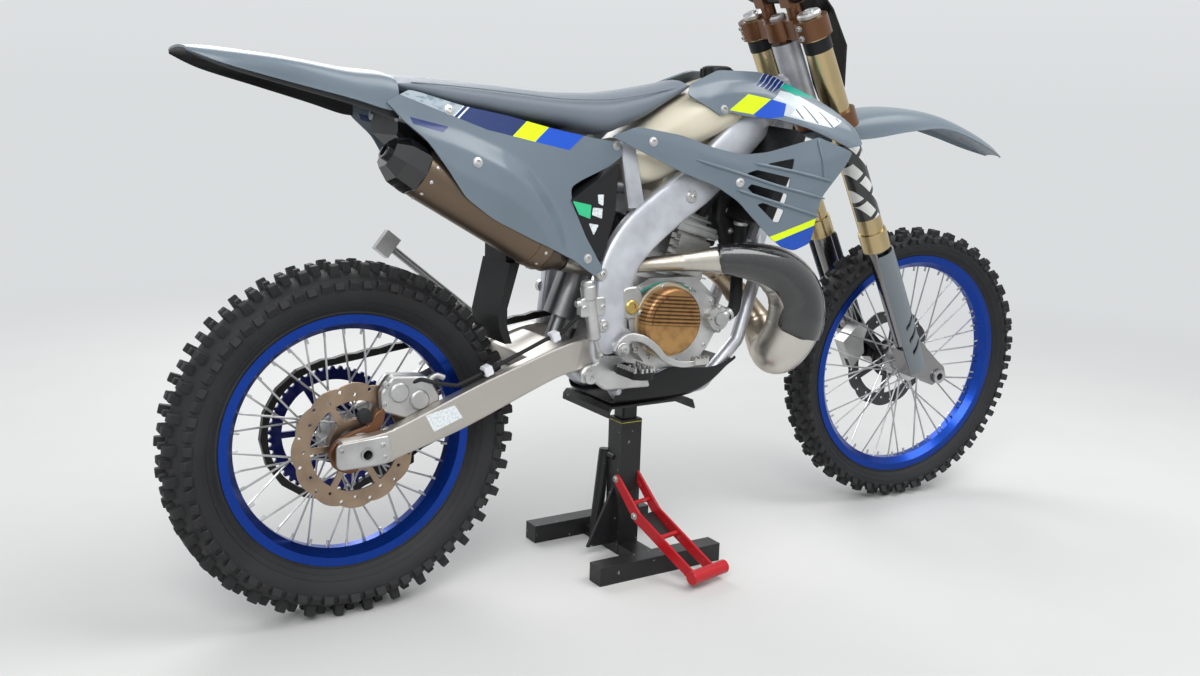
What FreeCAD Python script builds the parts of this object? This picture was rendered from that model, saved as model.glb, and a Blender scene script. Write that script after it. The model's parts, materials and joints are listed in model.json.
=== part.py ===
# Enduro motorcycle on a lift stand.
# Millimetres, +X towards the front wheel, +Y to the rider's left, +Z up.
# The origin is on the floor under the middle of the stand's crossbar.
import FreeCAD, Part
import math
import os
import Sketcher
from FreeCAD import Placement, Rotation, Vector

os.makedirs("parts", exist_ok=True)
doc = FreeCAD.newDocument("enduro_motorcycle")

# Driving dimensions: name, value, what it is
DIMENSIONS = [
    ("wheelBase", 1480, "rear axle to front axle"),
    ("rearAxleX", -637, "rear axle, along X"),
    ("rearAxleHeight", 338, "rear axle above the floor"),
    ("noseRise", 12, "front axle above rear axle"),
    ("axleLead", 57, "front axle ahead of the steering axis"),
    ("forkLead", 8, "fork tubes ahead of the steering axis"),
    ("forkSpacing", 210, "between the fork tubes' centres"),
    ("rakeAngle", 26.76, "steering axis back from upright, degrees"),
    ("restSteer", -6, "steering at rest, degrees, right is minus"),
    ("runningGap", 0.05, "radial gap of a running fit"),
    ("axleBore", 9, "radius of the hole through each axle"),
    ("rearAxleRadius", 12.5, "rear axle"),
    ("frontAxleRadius", 13, "front axle"),
    ("rearRimRadius", 242, "rear rim over its flanges"),
    ("rearRimHalf", 29, "half the width over the rear rim's flanges"),
    ("rearTyreHeight", 95.7, "rear tyre, rim flange to the lugs' tips"),
    ("rearTyreHalf", 59.5, "half the width of the rear tyre"),
    ("frontRimRadius", 281, "front rim over its flanges"),
    ("frontRimHalf", 23, "half the width over the front rim's flanges"),
    ("frontTyreHeight", 65, "front tyre, rim flange to the lugs' tips"),
    ("frontTyreHalf", 44, "half the width of the front tyre"),
    ("tyreWall", 8, "tyre's side wall"),
    ("lugHeight", 13, "tyre lugs"),
    ("lugPitches", 22, "lugs in a ring"),
    ("beadDepth", 13, "tyre bead below the rim's flange"),
    ("rimWell", 30, "rim flange to the well's inner face"),
    ("rimWall", 3.5, "wall of a rim"),
    ("rearDiscRadius", 120, "rear brake disc"),
    ("rearDiscOut", 54, "rear brake disc, out from the middle"),
    ("frontDiscRadius", 130, "front brake disc"),
    ("frontDiscOut", 56, "front brake disc, out from the middle"),
    ("discThickness", 4, "brake discs"),
    ("discBand", 34, "band of a brake disc, edge to edge"),
    ("discWaves", 12, "waves in a disc's edge"),
    ("waveDepth", 5, "waves of a disc's edge"),
    ("sprocketRadius", 125, "rear sprocket over its teeth"),
    ("sprocketTeeth", 49, "rear sprocket's teeth"),
    ("toothHeight", 6, "sprocket's teeth"),
    ("sprocketOut", 72, "rear sprocket, out from the middle"),
    ("sprocketThickness", 6.5, "rear sprocket"),
    ("chainWidth", 14, "drive chain"),
    ("chainHeight", 15, "height of a chain plate"),
    ("linkPitch", 31.75, "two links of the chain"),
    ("linkWaist", 2.5, "waist of a link, on its outer side"),
    ("spokeRadius", 2.1, "spokes"),
    ("spokeCount", 36, "spokes in a wheel"),
    ("outerTubeRadius", 29, "fork's outer tubes"),
    ("innerTubeRadius", 24, "fork's inner tubes"),
    ("outerTubeFoot", 383, "lower end of the outer tubes along the fork"),
    ("forkTop", 952, "top of the fork caps along the fork"),
    ("headTubeRadius", 31, "frame's head tube"),
    ("stemRadius", 15, "steering stem"),
    ("barRadius", 14, "handlebar at its middle"),
    ("gripRadius", 17, "handlebar grips"),
    ("plasticWall", 4, "plastic panels"),
    ("cradleRadius", 15, "frame's lower tubes"),
    ("cradleFloor", 378, "lower tubes' centre above the floor"),
    ("skidWall", 4, "skid plate"),
    ("silencerRadius", 46, "silencer can"),
    ("clutchRadius", 72, "clutch cover"),
    ("finPitch", 11, "between a radiator's fins"),
    ("finDepth", 5, "radiator's fins"),
    ("hoseRadius", 4, "rear brake hose"),
    ("standLength", 308, "stand's feet"),
    ("standWidth", 316, "over the stand's feet"),
    ("footWidth", 42, "stand's feet, across"),
    ("footHeight", 40, "stand's feet, high"),
    ("postWidth", 52, "stand's outer post, square"),
    ("innerPostWidth", 38, "stand's inner post, square"),
    ("postTop", 305, "top of the stand's outer post"),
    ("tableLength", 300, "stand's table, along X"),
    ("tableWidth", 190, "stand's table, along Y"),
    ("tableThickness", 14, "stand's table with its rubber"),
    ("swingHeight", 62, "swingarm at its pivot"),
]

sheet = doc.addObject("Spreadsheet::Sheet", "Sizes")
for row, (alias, amount, note) in enumerate(DIMENSIONS, start=1):
    sheet.set("A%d" % row, alias)
    sheet.set("B%d" % row, str(amount))
    sheet.set("C%d" % row, note)
    sheet.setAlias("B%d" % row, alias)
doc.recompute()


class Size:
    """A size that knows its number and the formula that gives it."""

    def __init__(self, number, formula):
        self.number = float(number)
        self.formula = formula

    def joined(self, sign, other, number):
        return Size(number, "(%s %s %s)" % (self.formula, sign, formula_of(other)))

    def __add__(self, other):
        return self.joined("+", other, self.number + float(other))

    def __sub__(self, other):
        return self.joined("-", other, self.number - float(other))

    def __mul__(self, other):
        return self.joined("*", other, self.number * float(other))

    def __truediv__(self, other):
        return self.joined("/", other, self.number / float(other))

    def __radd__(self, other):
        return self + other

    def __rmul__(self, other):
        return self * other

    def __rsub__(self, other):
        return -self + other

    def __neg__(self):
        return self * -1

    def __float__(self):
        return self.number


def formula_of(amount):
    return amount.formula if isinstance(amount, Size) else repr(float(amount))


class NamedSizes:
    """The sheet's cells by their names."""


size = NamedSizes()
for alias, amount, note in DIMENSIONS:
    setattr(size, alias, Size(float(sheet.get(alias)), "Sizes." + alias))

nodes = {}


def bind(thing, prop, amount):
    setattr(thing, prop, float(amount))
    if isinstance(amount, Size):
        thing.setExpression(prop, amount.formula)


def node(label, thing, placement=None):
    thing.Label = label
    if placement is not None:
        thing.Placement = placement
    nodes[label] = thing
    return thing


def feature(label, shape, placement=None):
    thing = doc.addObject("Part::Feature", label)
    thing.Shape = shape
    return node(label, thing, placement)


def turned_to(direction):
    return Rotation(Vector(0, 0, 1), Vector(direction))


def draw(sketch, outline):
    """Closed outline of corners; every coordinate is held by a dimension."""
    count = len(outline)
    spots = [Vector(float(across), float(up), 0) for across, up in outline]
    for i in range(count):
        sketch.addGeometry(Part.LineSegment(spots[i], spots[(i + 1) % count]), False)
    for i in range(count):
        sketch.addConstraint(Sketcher.Constraint("Coincident", i, 2, (i + 1) % count, 1))
    for i in range(count):
        for kind, amount in zip(("DistanceX", "DistanceY"), outline[i]):
            held = sketch.addConstraint(Sketcher.Constraint(kind, -1, 1, i, 1, float(amount)))
            if isinstance(amount, Size):
                sketch.setExpression("Constraints[%d]" % held, amount.formula)


def revolved(name, outline):
    """Body turned about Y from (radius, y) corners."""
    body = doc.addObject("PartDesign::Body", name)
    plane = [thing for thing in body.Origin.OriginFeatures if thing.Role == "XY_Plane"][0]
    sketch = body.newObject("Sketcher::SketchObject", name + "_outline")
    sketch.AttachmentSupport = [(plane, "")]
    sketch.MapMode = "FlatFace"
    draw(sketch, outline)
    turn = body.newObject("PartDesign::Revolution", name + "_turn")
    turn.Profile = sketch
    turn.ReferenceAxis = (sketch, ["V_Axis"])
    turn.Angle = 360
    return body


def rod(name, start, end, radius):
    start = Vector(*[float(part) for part in start])
    end = Vector(*[float(part) for part in end])
    bar = doc.addObject("Part::Cylinder", name)
    bind(bar, "Radius", radius)
    bar.Height = (end - start).Length
    bar.Placement = Placement(start, turned_to(end - start))
    return bar


def fused(name, things):
    whole = doc.addObject("Part::MultiFuse", name)
    whole.Shapes = things
    return whole


def cut(name, base, tool):
    rest = doc.addObject("Part::Cut", name)
    rest.Base = base
    rest.Tool = tool
    return rest


# Shapes made by Part's own functions

def vectors(points):
    return [Vector(*[float(part) for part in point]) for point in points]


def ring(points):
    points = vectors(points)
    return Part.makePolygon(points + points[:1])


def ruled(wires):
    solid = Part.makeLoft(wires, True, True)
    if solid.Volume < 0:
        solid.reverse()
    return solid


def mirrored(shape):
    return shape.mirror(Vector(0, 0, 0), Vector(0, 1, 0))


def pair(shape):
    return Part.makeCompound([shape, mirrored(shape)])


def beam(stations):
    """Box beam; each station is its centre, up direction (x, z), height and thickness in y."""
    wires = []
    for x, y, z, up_x, up_z, height, thick in stations:
        up = Vector(up_x, 0, up_z).normalize() * (height / 2)
        side = Vector(0, thick / 2, 0)
        chamfer = min(height, thick) * 0.2
        small_up = Vector(up).normalize() * chamfer
        small_side = Vector(0, chamfer, 0)
        centre = Vector(x, y, z)
        corners = []
        for u, s in ((1, 1), (1, -1), (-1, -1), (-1, 1)):
            first = centre + up * u + side * s - small_side * s
            second = centre + up * u + side * s - small_up * u
            corners += [second, first] if u * s > 0 else [first, second]
        wires.append(Part.makePolygon(corners + corners[:1]))
    return ruled(wires)


def across(stations, inward=None, down=None, wall=None):
    """Thin panel through slices of constant x; each slice lists (y, z) along its outer face."""
    wall = float(size.plasticWall if wall is None else wall)
    shift_y = 0 if inward is None else inward * wall
    shift_z = 0 if down is None else -down * wall
    wires = []
    for x, points in stations:
        outer = [(x, y, z) for y, z in points]
        inner = [(x, y + shift_y, z + shift_z) for y, z in points]
        wires.append(ring(outer + inner[::-1]))
    return ruled(wires)


def slices(stations):
    """Solid through closed slices of constant x, each a list of (y, z)."""
    return ruled([ring([(x, y, z) for y, z in points]) for x, points in stations])


def hull_slice(half_low, half_high, low, high, bevel=0.25):
    """Eight-sided slice, symmetric about the middle plane."""
    drop = (high - low) * bevel
    return [(-half_low * (1 - bevel), low), (half_low * (1 - bevel), low), (half_low, low + drop),
            (half_high, high - drop), (half_high * (1 - bevel), high), (-half_high * (1 - bevel), high),
            (-half_high, high - drop), (-half_low, low + drop)]


def path_directions(points):
    directions = []
    for i in range(len(points)):
        before = points[max(i - 1, 0)]
        after = points[min(i + 1, len(points) - 1)]
        directions.append((after - before).normalize())
    return directions


def cones(table):
    """Pipe of welded cones; each row is (x, y, z, radius)."""
    centres = vectors([row[:3] for row in table])
    wires = []
    for centre, direction, row in zip(centres, path_directions(centres), table):
        wires.append(Part.Wire(Part.makeCircle(row[3], centre, direction)))
    return ruled(wires)


def crescent_shell(table, outward, spread, gap, wall):
    """Open shell over a pipe; outward is the direction its middle faces, spread in degrees each side."""
    centres = vectors([row[:3] for row in table])
    wires = []
    for centre, direction, row in zip(centres, path_directions(centres), table):
        middle = (outward - direction * outward.dot(direction)).normalize()
        inner = row[3] + gap
        outer = inner + wall
        spots = []
        for radius, turns in ((outer, (-1, 0, 1)), (inner, (1, 0, -1))):
            for turn in turns:
                spots.append(centre + Rotation(direction, turn * spread).multVec(middle) * radius)
        edges = [Part.Arc(spots[0], spots[1], spots[2]).toShape(), Part.makeLine(spots[2], spots[3]),
                 Part.Arc(spots[3], spots[4], spots[5]).toShape(), Part.makeLine(spots[5], spots[0])]
        wires.append(Part.Wire(edges))
    return ruled(wires)


def bent_tube(points, radius, bend, bore=0):
    """Round tube through corners rounded by arcs of radius bend."""
    points = vectors(points)
    edges = []
    here = points[0]
    for i in range(1, len(points) - 1):
        into = (points[i] - points[i - 1]).normalize()
        away = (points[i + 1] - points[i]).normalize()
        half_turn = into.getAngle(away) / 2
        back = bend * math.tan(half_turn)
        start = points[i] - into * back
        end = points[i] + away * back
        centre_way = (away - into).normalize()
        middle = points[i] + centre_way * (bend / math.cos(half_turn) - bend)
        edges.append(Part.makeLine(here, start))
        edges.append(Part.Arc(start, middle, end).toShape())
        here = end
    edges.append(Part.makeLine(here, points[-1]))
    spine = Part.Wire(edges)
    first = (points[1] - points[0]).normalize()
    tube = spine.makePipeShell([Part.Wire(Part.makeCircle(radius, points[0], first))], True, True)
    if bore:
        core = spine.makePipeShell([Part.Wire(Part.makeCircle(bore, points[0], first))], True, True)
        tube = tube.cut(core)
    return tube


def flat_solid(faces):
    """Closed solid sewn from flat faces, each a list of its corners."""
    skin = Part.makeCompound([Part.Face(ring(corners)) for corners in faces])
    skin.sewShape()
    solid = Part.Solid(Part.Shell(skin.Faces))
    if solid.Volume < 0:
        solid.reverse()
    return solid


def drum(start, end, radius):
    start, end = vectors([start, end])
    return Part.makeCylinder(float(radius), (end - start).Length, start, end - start)


def slab(outline, low, high):
    """Outline of (x, z) corners between y = low and y = high."""
    face = Part.Face(ring([(x, low, z) for x, z in outline]))
    return face.extrude(Vector(0, high - low, 0))


# Places that everything else follows
wheel_base = float(size.wheelBase)
rear_axle = Vector(float(size.rearAxleX), 0, float(size.rearAxleHeight))
rise = float(size.noseRise)
front_axle = rear_axle + Vector(math.sqrt(wheel_base ** 2 - rise ** 2), 0, rise)
rake = float(size.rakeAngle)
# The fork's own frame: x ahead of the steering axis, z along it, origin level with the axle
fork_turn = Rotation(Vector(0, 1, 0), -rake)
fork_foot = front_axle - fork_turn.multVec(Vector(float(size.axleLead), 0, 0))
fork_straight = Placement(fork_foot, fork_turn)
fork_place = fork_straight.multiply(Placement(Vector(0, 0, 0),
                                              Rotation(Vector(0, 0, 1), float(size.restSteer))))
steered = fork_place.multiply(fork_straight.inverse())
rear_place = Placement(rear_axle, Rotation())
front_place = fork_place.multiply(Placement(Vector(float(size.axleLead), 0, 0), Rotation()))


# Wheels

def tyre(height, half, rim_radius, rim_half):
    """Hollow tyre of flat faces on its bead seats, with lugs on every other step."""
    steps = 2 * int(round(float(size.lugPitches)))
    # Flat faces run inside their circle, so the bead starts out by as much
    seat = (rim_radius - float(size.beadDepth)) / math.cos(math.pi / steps)
    bead = rim_half - float(size.rimWall)
    wall = float(size.tyreWall)
    lug = float(size.lugHeight)
    crown = rim_radius + height - lug
    flank = rim_radius + 0.4 * height
    shoulder = crown - 0.16 * height
    # Radius and place across, from the middle out to the bead and back inside
    outer = [(crown, 0.07 * half), (crown - 1, 0.4 * half), (crown - 3, 0.52 * half),
             (shoulder, 0.84 * half),
             (flank, 0.94 * half), (seat + 15, bead), (seat, bead)]
    inner = [(seat, bead - wall), (seat + 18, bead - wall), (flank, 0.94 * half - wall),
             (shoulder - wall, 0.55 * half)]
    right = outer + inner
    section = right + [(radius, -y) for radius, y in right[::-1]]
    # Lugs by the stretch of the section that carries them: rise along the radius, outwards, first step
    middle_lug = (lug, 0, 1)
    side_lug = (0.6 * lug, 0.16 * half, 0)
    last = len(section) - 1
    lugs = {0: middle_lug, 2: side_lug, last - 3: (side_lug[0], -side_lug[1], side_lug[2]),
            last - 1: middle_lug}

    def spot(step, radius, y):
        turn = 2 * math.pi * step / steps
        return Vector(radius * math.cos(turn), y, radius * math.sin(turn))

    faces = []
    for step in range(steps):
        for i, (low, high) in enumerate(zip(section, section[1:] + section[:1])):
            rise, out, first = lugs.get(i, (0, 0, None))
            base = [spot(step, *low), spot(step, *high), spot(step + 1, *high), spot(step + 1, *low)]
            if first != step % 2:
                faces.append(base)
                continue
            low_top = (low[0] + rise, low[1] + out)
            high_top = (high[0] + rise, high[1] + out)
            top = [spot(step, *low_top), spot(step, *high_top), spot(step + 1, *high_top),
                   spot(step + 1, *low_top)]
            faces.append(top)
            faces += [[base[k - 1], base[k], top[k], top[k - 1]] for k in range(4)]
    return flat_solid(faces)


def rim(name, radius, half):
    wall = size.rimWall
    well = radius - size.rimWell
    seat = radius - 13.3
    outline = [
        (radius, half), (radius, half - wall), (seat, half - wall), (seat, half - 12), (well + wall, 7),
        (well + wall, -7), (seat, 12 - half), (seat, wall - half), (radius, wall - half), (radius, -half),
        (seat - wall, -half), (well, -9), (well, 9), (seat - wall, half),
    ]
    return revolved(name, outline)


def spokes(hub_radius, hub_half, rim_inner, sweep):
    """Crossed spokes from both hub flanges to the rim's well."""
    count = int(round(float(size.spokeCount)))
    spoke_pass = 2 * float(size.spokeRadius) + 0.2
    rods = []
    for i in range(count):
        side = 1 if i % 2 else -1
        lean = 1 if (i // 2) % 2 else -1
        at_rim = math.radians(360.0 * i / count)
        at_hub = at_rim + lean * math.radians(sweep)
        hub_y = side * (hub_half - spoke_pass * (lean + 1) / 2)
        rim_y = side * (3 - spoke_pass * lean / 2)
        start = Vector(hub_radius * math.cos(at_hub), hub_y, hub_radius * math.sin(at_hub))
        end = Vector(rim_inner * math.cos(at_rim), rim_y, rim_inner * math.sin(at_rim))
        direction = end - start
        flat = Rotation(Vector(0, 0, 1), direction)
        corners = []
        for corner in range(6):
            turn = math.radians(60 * corner)
            offset = Vector(math.cos(turn), math.sin(turn), 0) * float(size.spokeRadius)
            corners.append(start + flat.multVec(offset))
        face = Part.Face(Part.makePolygon(corners + corners[:1]))
        rods.append(face.extrude(direction))
    return rods


def hub(name, axle_radius, flange_half, flange_radius, left_end, right_end, rim_inner, sweep):
    """Turned hub with its flanges, joined to the spokes."""
    bore = axle_radius + size.runningGap
    barrel = 24
    outline = [
        (bore, left_end), (bore + 9, left_end), (bore + 9, flange_half), (flange_radius, flange_half),
        (flange_radius, flange_half - 7), (barrel, flange_half - 14), (barrel, 14 - flange_half),
        (flange_radius, 7 - flange_half), (flange_radius, -flange_half), (bore + 9, -flange_half),
        (bore + 9, -right_end), (bore, -right_end),
    ]
    core = revolved(name + "_core", outline)
    wires = doc.addObject("Part::Feature", name + "_spokes")
    wires.Shape = Part.makeCompound(spokes(flange_radius - 8, flange_half - 3, rim_inner, sweep))
    return fused(name, [core, wires])


def wavy_face(radius, depth, count):
    """Face across Y whose edge swings between radius and radius - depth."""
    def spot(reach, share):
        turn = 2 * math.pi * share / count
        return Vector(reach * math.cos(turn), 0, reach * math.sin(turn))

    arcs = [Part.Arc(spot(radius - depth, i - 0.5), spot(radius, i),
                     spot(radius - depth, i + 0.5)).toShape()
            for i in range(count)]
    return Part.Face(Part.Wire(arcs))


def toothed_face(radius, depth, count):
    """Face across Y with teeth of height depth."""
    corners = []
    for i in range(count):
        for share, reach in ((-0.34, radius - depth), (-0.12, radius), (0.12, radius),
                             (0.34, radius - depth)):
            turn = 2 * math.pi * (i + share) / count
            corners.append((reach * math.cos(turn), 0, reach * math.sin(turn)))
    return Part.Face(ring(corners))


def turned_ring(outer, inner, low, high):
    """Flat ring about Y between y = low and y = high."""
    return drum((0, low, 0), (0, high, 0), outer).cut(drum((0, low, 0), (0, high, 0), inner))


def disc(face, inner, out, thickness, carrier, arm_count):
    """Ring with the face's edge and its carrier arms, about Y at y = out."""
    low = out - thickness / 2
    band = face.extrude(Vector(0, thickness, 0))
    band.translate(Vector(0, low, 0))
    band = band.cut(drum((0, low, 0), (0, low + thickness, 0), inner))
    arm_start = carrier - 8
    arm_end = inner + 6
    arm_width = 12
    arms = []
    for i in range(arm_count):
        arm = Part.makeBox(arm_end - arm_start, thickness, arm_width,
                           Vector(arm_start, low, -arm_width / 2))
        arm.Placement = Placement(Vector(0, 0, 0), Rotation(Vector(0, 1, 0), 360.0 * i / arm_count))
        arms.append(arm)
    return band.multiFuse(arms + [turned_ring(carrier, carrier - 14, low, low + thickness)])


def brake_disc(radius, out, seat_low, seat_high, seat_radius):
    """Wavy disc with its vent holes, and the ring that seats it on the hub."""
    thickness = float(size.discThickness)
    waves = int(round(float(size.discWaves)))
    whole = disc(wavy_face(radius, float(size.waveDepth), waves), radius - float(size.discBand), out,
                 thickness,
                 50, waves // 2)
    vents = []
    for i in range(2 * waves):
        reach = radius - (12 if i % 2 else 22)
        turn = math.pi * i / waves
        x, z = reach * math.cos(turn), reach * math.sin(turn)
        vents.append(drum((x, out - thickness, z), (x, out + thickness, z), 3.5))
    whole = whole.cut(Part.makeCompound(vents))
    return whole.fuse(turned_ring(seat_radius, seat_radius - 14, seat_low, seat_high))


rear_rim_radius = float(size.rearRimRadius)
front_rim_radius = float(size.frontRimRadius)
feature("rear_tyre", tyre(float(size.rearTyreHeight), float(size.rearTyreHalf), rear_rim_radius,
                          float(size.rearRimHalf)), rear_place)
feature("front_tyre", tyre(float(size.frontTyreHeight), float(size.frontTyreHalf), front_rim_radius,
                           float(size.frontRimHalf)), front_place)
node("rear_rim", rim("rear_rim", size.rearRimRadius, size.rearRimHalf), rear_place)
node("front_rim", rim("front_rim", size.frontRimRadius, size.frontRimHalf), front_place)

rear_flange = 36
front_flange = 32
spoke_sweep = 62
# Spokes end a little inside the rim's well
spoke_reach = size.rimWell - 2
node("rear_hub", hub("rear_hub", size.rearAxleRadius, rear_flange, 46, size.sprocketOut + 8, 64,
                     float(size.rearRimRadius - spoke_reach), spoke_sweep), rear_place)
node("front_hub", hub("front_hub", size.frontAxleRadius, front_flange, 38, 60, 60,
                      float(size.frontRimRadius - spoke_reach), spoke_sweep), front_place)

disc_out = float(size.rearDiscOut)
feature("rear_disc", brake_disc(float(size.rearDiscRadius), -disc_out, -disc_out, -rear_flange, 50),
        rear_place)
disc_out = float(size.frontDiscOut)
feature("front_disc", brake_disc(float(size.frontDiscRadius), disc_out, front_flange, disc_out, 44),
        front_place)

sprocket_low = float(size.sprocketOut - size.sprocketThickness / 2)
teeth = toothed_face(float(size.sprocketRadius), float(size.toothHeight),
                     int(round(float(size.sprocketTeeth))))
sprocket = disc(teeth, float(size.sprocketRadius) - 26, float(size.sprocketOut),
                float(size.sprocketThickness), 60, 6)
feature("rear_sprocket", sprocket.fuse(turned_ring(58, 28, rear_flange, sprocket_low)), rear_place)


# Gap between a piece and what carries it
seat_gap = 0.3

# Rear axle, swingarm and chain
arm_outer = 112
arm_inner = 84
rear_axle_half = arm_outer + 8
axle_pin = rod("rear_axle_pin", (0, -rear_axle_half, 0), (0, rear_axle_half, 0), size.rearAxleRadius)
axle_head = rod("rear_axle_nut", (0, arm_outer, 0), (0, rear_axle_half, 0), 19)
axle_hole = rod("rear_axle_hole", (0, -200, 0), (0, 200, 0), size.axleBore)
node("rear_axle", cut("rear_axle", fused("rear_axle_whole", [axle_pin, axle_head]), axle_hole), rear_place)

arm_middle = (arm_inner + arm_outer) / 2
arm_thick = arm_outer - arm_inner
swing_high = float(size.swingHeight)
swing_pivot = Vector(-152, 0, 478)
axle_z = rear_axle.z
axle_x = rear_axle.x
arm_stations = [
    (swing_pivot.x + 26, -88, 482, 0.2, 1, swing_high * 0.7, 30),
    (swing_pivot.x, -90, 480, 0.2, 1, swing_high, 32),
    (-228, -arm_middle, 473, 0.32, 1, 68, arm_thick),
    (-380, -arm_middle, 419, 0.34, 1, 84, arm_thick),
    (-455, -arm_middle, 392, 0.3, 1, 84, arm_thick),
    (-560, -arm_middle, 356, 0.2, 1, 66, arm_thick),
    (axle_x + 30, -arm_middle, axle_z + 4, 0, 1, 60, arm_thick),
    (axle_x - 44, -arm_middle, axle_z, 0, 1, 54, arm_thick),
]
right_arm = beam(arm_stations)
bridge_front = -214
bridge = slab([(bridge_front, 505), (-290, 480), (-300, 452), (-286, 424), (bridge_front, 446)],
              -arm_middle,
              arm_middle)
swing_body = right_arm.multiFuse([mirrored(right_arm), bridge])
axle_slot = drum((axle_x, -200, axle_z), (axle_x, 200, axle_z), size.rearAxleRadius)
pivot_hole = drum((swing_pivot.x, -200, swing_pivot.z), (swing_pivot.x, 200, swing_pivot.z), 10)
# The hub's ends run between spacers, part of each arm
for side in (-1, 1):
    hub_end = float(size.sprocketOut) + 8.5 if side > 0 else 64.5
    spacer = drum((axle_x, side * hub_end, axle_z), (axle_x, side * arm_inner, axle_z), 20)
    swing_body = swing_body.fuse(spacer)
feature("swingarm", swing_body.cut(axle_slot).cut(pivot_hole))

chain_y = float(size.sprocketOut)
front_sprocket = Vector(-88, chain_y, 505)
front_sprocket_radius = 34
chain_gap = 1.0
loop_rear = float(size.sprocketRadius) + chain_gap
loop_front = front_sprocket_radius
chain_wall = float(size.chainHeight)


def belt(rear_radius, front_radius, low, high):
    """Stadium-like solid round two circles, between y = low and y = high."""
    a = Vector(axle_x, 0, axle_z)
    b = Vector(front_sprocket.x, 0, front_sprocket.z)
    line = b - a
    reach = line.Length
    lean = math.atan2(line.z, line.x)
    open_angle = math.acos((rear_radius - front_radius) / reach)

    def spot(centre, radius, angle):
        return Vector(centre.x + radius * math.cos(angle), low, centre.z + radius * math.sin(angle))
    top_a = spot(a, rear_radius, lean + open_angle)
    top_b = spot(b, front_radius, lean + open_angle)
    low_a = spot(a, rear_radius, lean - open_angle)
    low_b = spot(b, front_radius, lean - open_angle)
    edges = [Part.makeLine(top_a, top_b), Part.Arc(top_b, spot(b, front_radius, lean), low_b).toShape(),
             Part.makeLine(low_b, low_a), Part.Arc(low_a, spot(a, rear_radius, lean + math.pi),
                                                   top_a).toShape()]
    return Part.Face(Part.Wire(edges)).extrude(Vector(0, high - low, 0))


def chain_spot(share, out):
    """Point at a share of the way round the chain's inner line, moved outwards by out."""
    a = Vector(axle_x, chain_y - chain_half, axle_z)
    b = Vector(front_sprocket.x, chain_y - chain_half, front_sprocket.z)
    reach = (b - a).Length
    lean = math.atan2(b.z - a.z, b.x - a.x)
    open_angle = math.acos((loop_rear - loop_front) / reach)
    straight = reach * math.sin(open_angle)
    front_turn = 2 * open_angle * loop_front
    rear_turn = 2 * (math.pi - open_angle) * loop_rear
    run = share * (2 * straight + front_turn + rear_turn)
    slide = 0
    if run < straight:
        centre, radius, angle, slide = a, loop_rear, lean + open_angle, run
    elif run < straight + front_turn:
        centre, radius, angle = b, loop_front, lean + open_angle - (run - straight) / loop_front
    elif run < 2 * straight + front_turn:
        centre, radius, angle, slide = b, loop_front, lean - open_angle, run - straight - front_turn
    else:
        past = run - 2 * straight - front_turn
        centre, radius, angle = a, loop_rear, lean - open_angle - past / loop_rear
    outwards = Vector(math.cos(angle), 0, math.sin(angle))
    along = Vector(math.sin(angle), 0, -math.cos(angle))
    return centre + outwards * (radius + out) + along * slide


chain_half = float(size.chainWidth) / 2
loop_length = belt(loop_rear, loop_front, 0, 1).Faces[0].OuterWire.Length
link_count = int(round(loop_length / float(size.linkPitch)))
link_corners = []
for i in range(2 * link_count):
    waist = float(size.linkWaist) if i % 2 else 0
    link_corners.append(chain_spot(i / (2 * link_count), chain_wall - waist))
chain = Part.Face(ring(link_corners)).extrude(Vector(0, 2 * chain_half, 0))
chain = chain.cut(belt(loop_rear, loop_front, chain_y - chain_half, chain_y + chain_half))
feature("drive_chain", chain)

guide = slab([(-560, 300), (-470, 330), (-470, 250), (-552, 212)], chain_y - 10.5, arm_inner)
guide = guide.cut(belt(loop_rear + chain_wall + 3, loop_front + chain_wall + 3, chain_y - 8.4,
                       chain_y + 8.4))
guide = guide.fuse(slab([(-556, 350), (-474, 372), (-474, 280), (-556, 260)], chain_y + 8.4, arm_inner))
feature("chain_guide", guide)

caliper_hole = drum((axle_x, -200, axle_z), (axle_x, 200, axle_z), size.rearDiscRadius + 3)
caliper = slab([(-590, 400), (-500, 372), (-478, 420), (-505, 462), (-575, 468)], -arm_inner, -41)
slot = drum((axle_x, -float(size.rearDiscOut) - 7, axle_z), (axle_x, -float(size.rearDiscOut) + 7, axle_z),
            size.rearDiscRadius + 6)
caliper = caliper.cut(slot)
caliper = caliper.fuse(slab([(-652, 366), (-612, 322), (-540, 400), (-560, 425)], -arm_inner, -70))
caliper = caliper.fuse(drum((axle_x, -arm_inner, axle_z), (axle_x, -70, axle_z), 32))
feature("rear_brake_caliper", caliper.cut(drum((axle_x, -200, axle_z), (axle_x, 200, axle_z), 20)))


# Frame
head_low = 738
head_high = 893
stem_gap = size.stemRadius + size.runningGap
head = cut("frame_head", rod("head_tube", (0, 0, head_low), (0, 0, head_high), size.headTubeRadius),
           rod("head_bore", (0, 0, head_low - 5), (0, 0, head_high + 5), stem_gap))
node("frame_head", head, fork_straight)
head_point = fork_straight.multVec(Vector(0, 0, (head_low + head_high) / 2))
head_core = drum(fork_straight.multVec(Vector(0, 0, head_low - 60)),
                 fork_straight.multVec(Vector(0, 0, head_high + 60)),
                 size.headTubeRadius)

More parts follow.
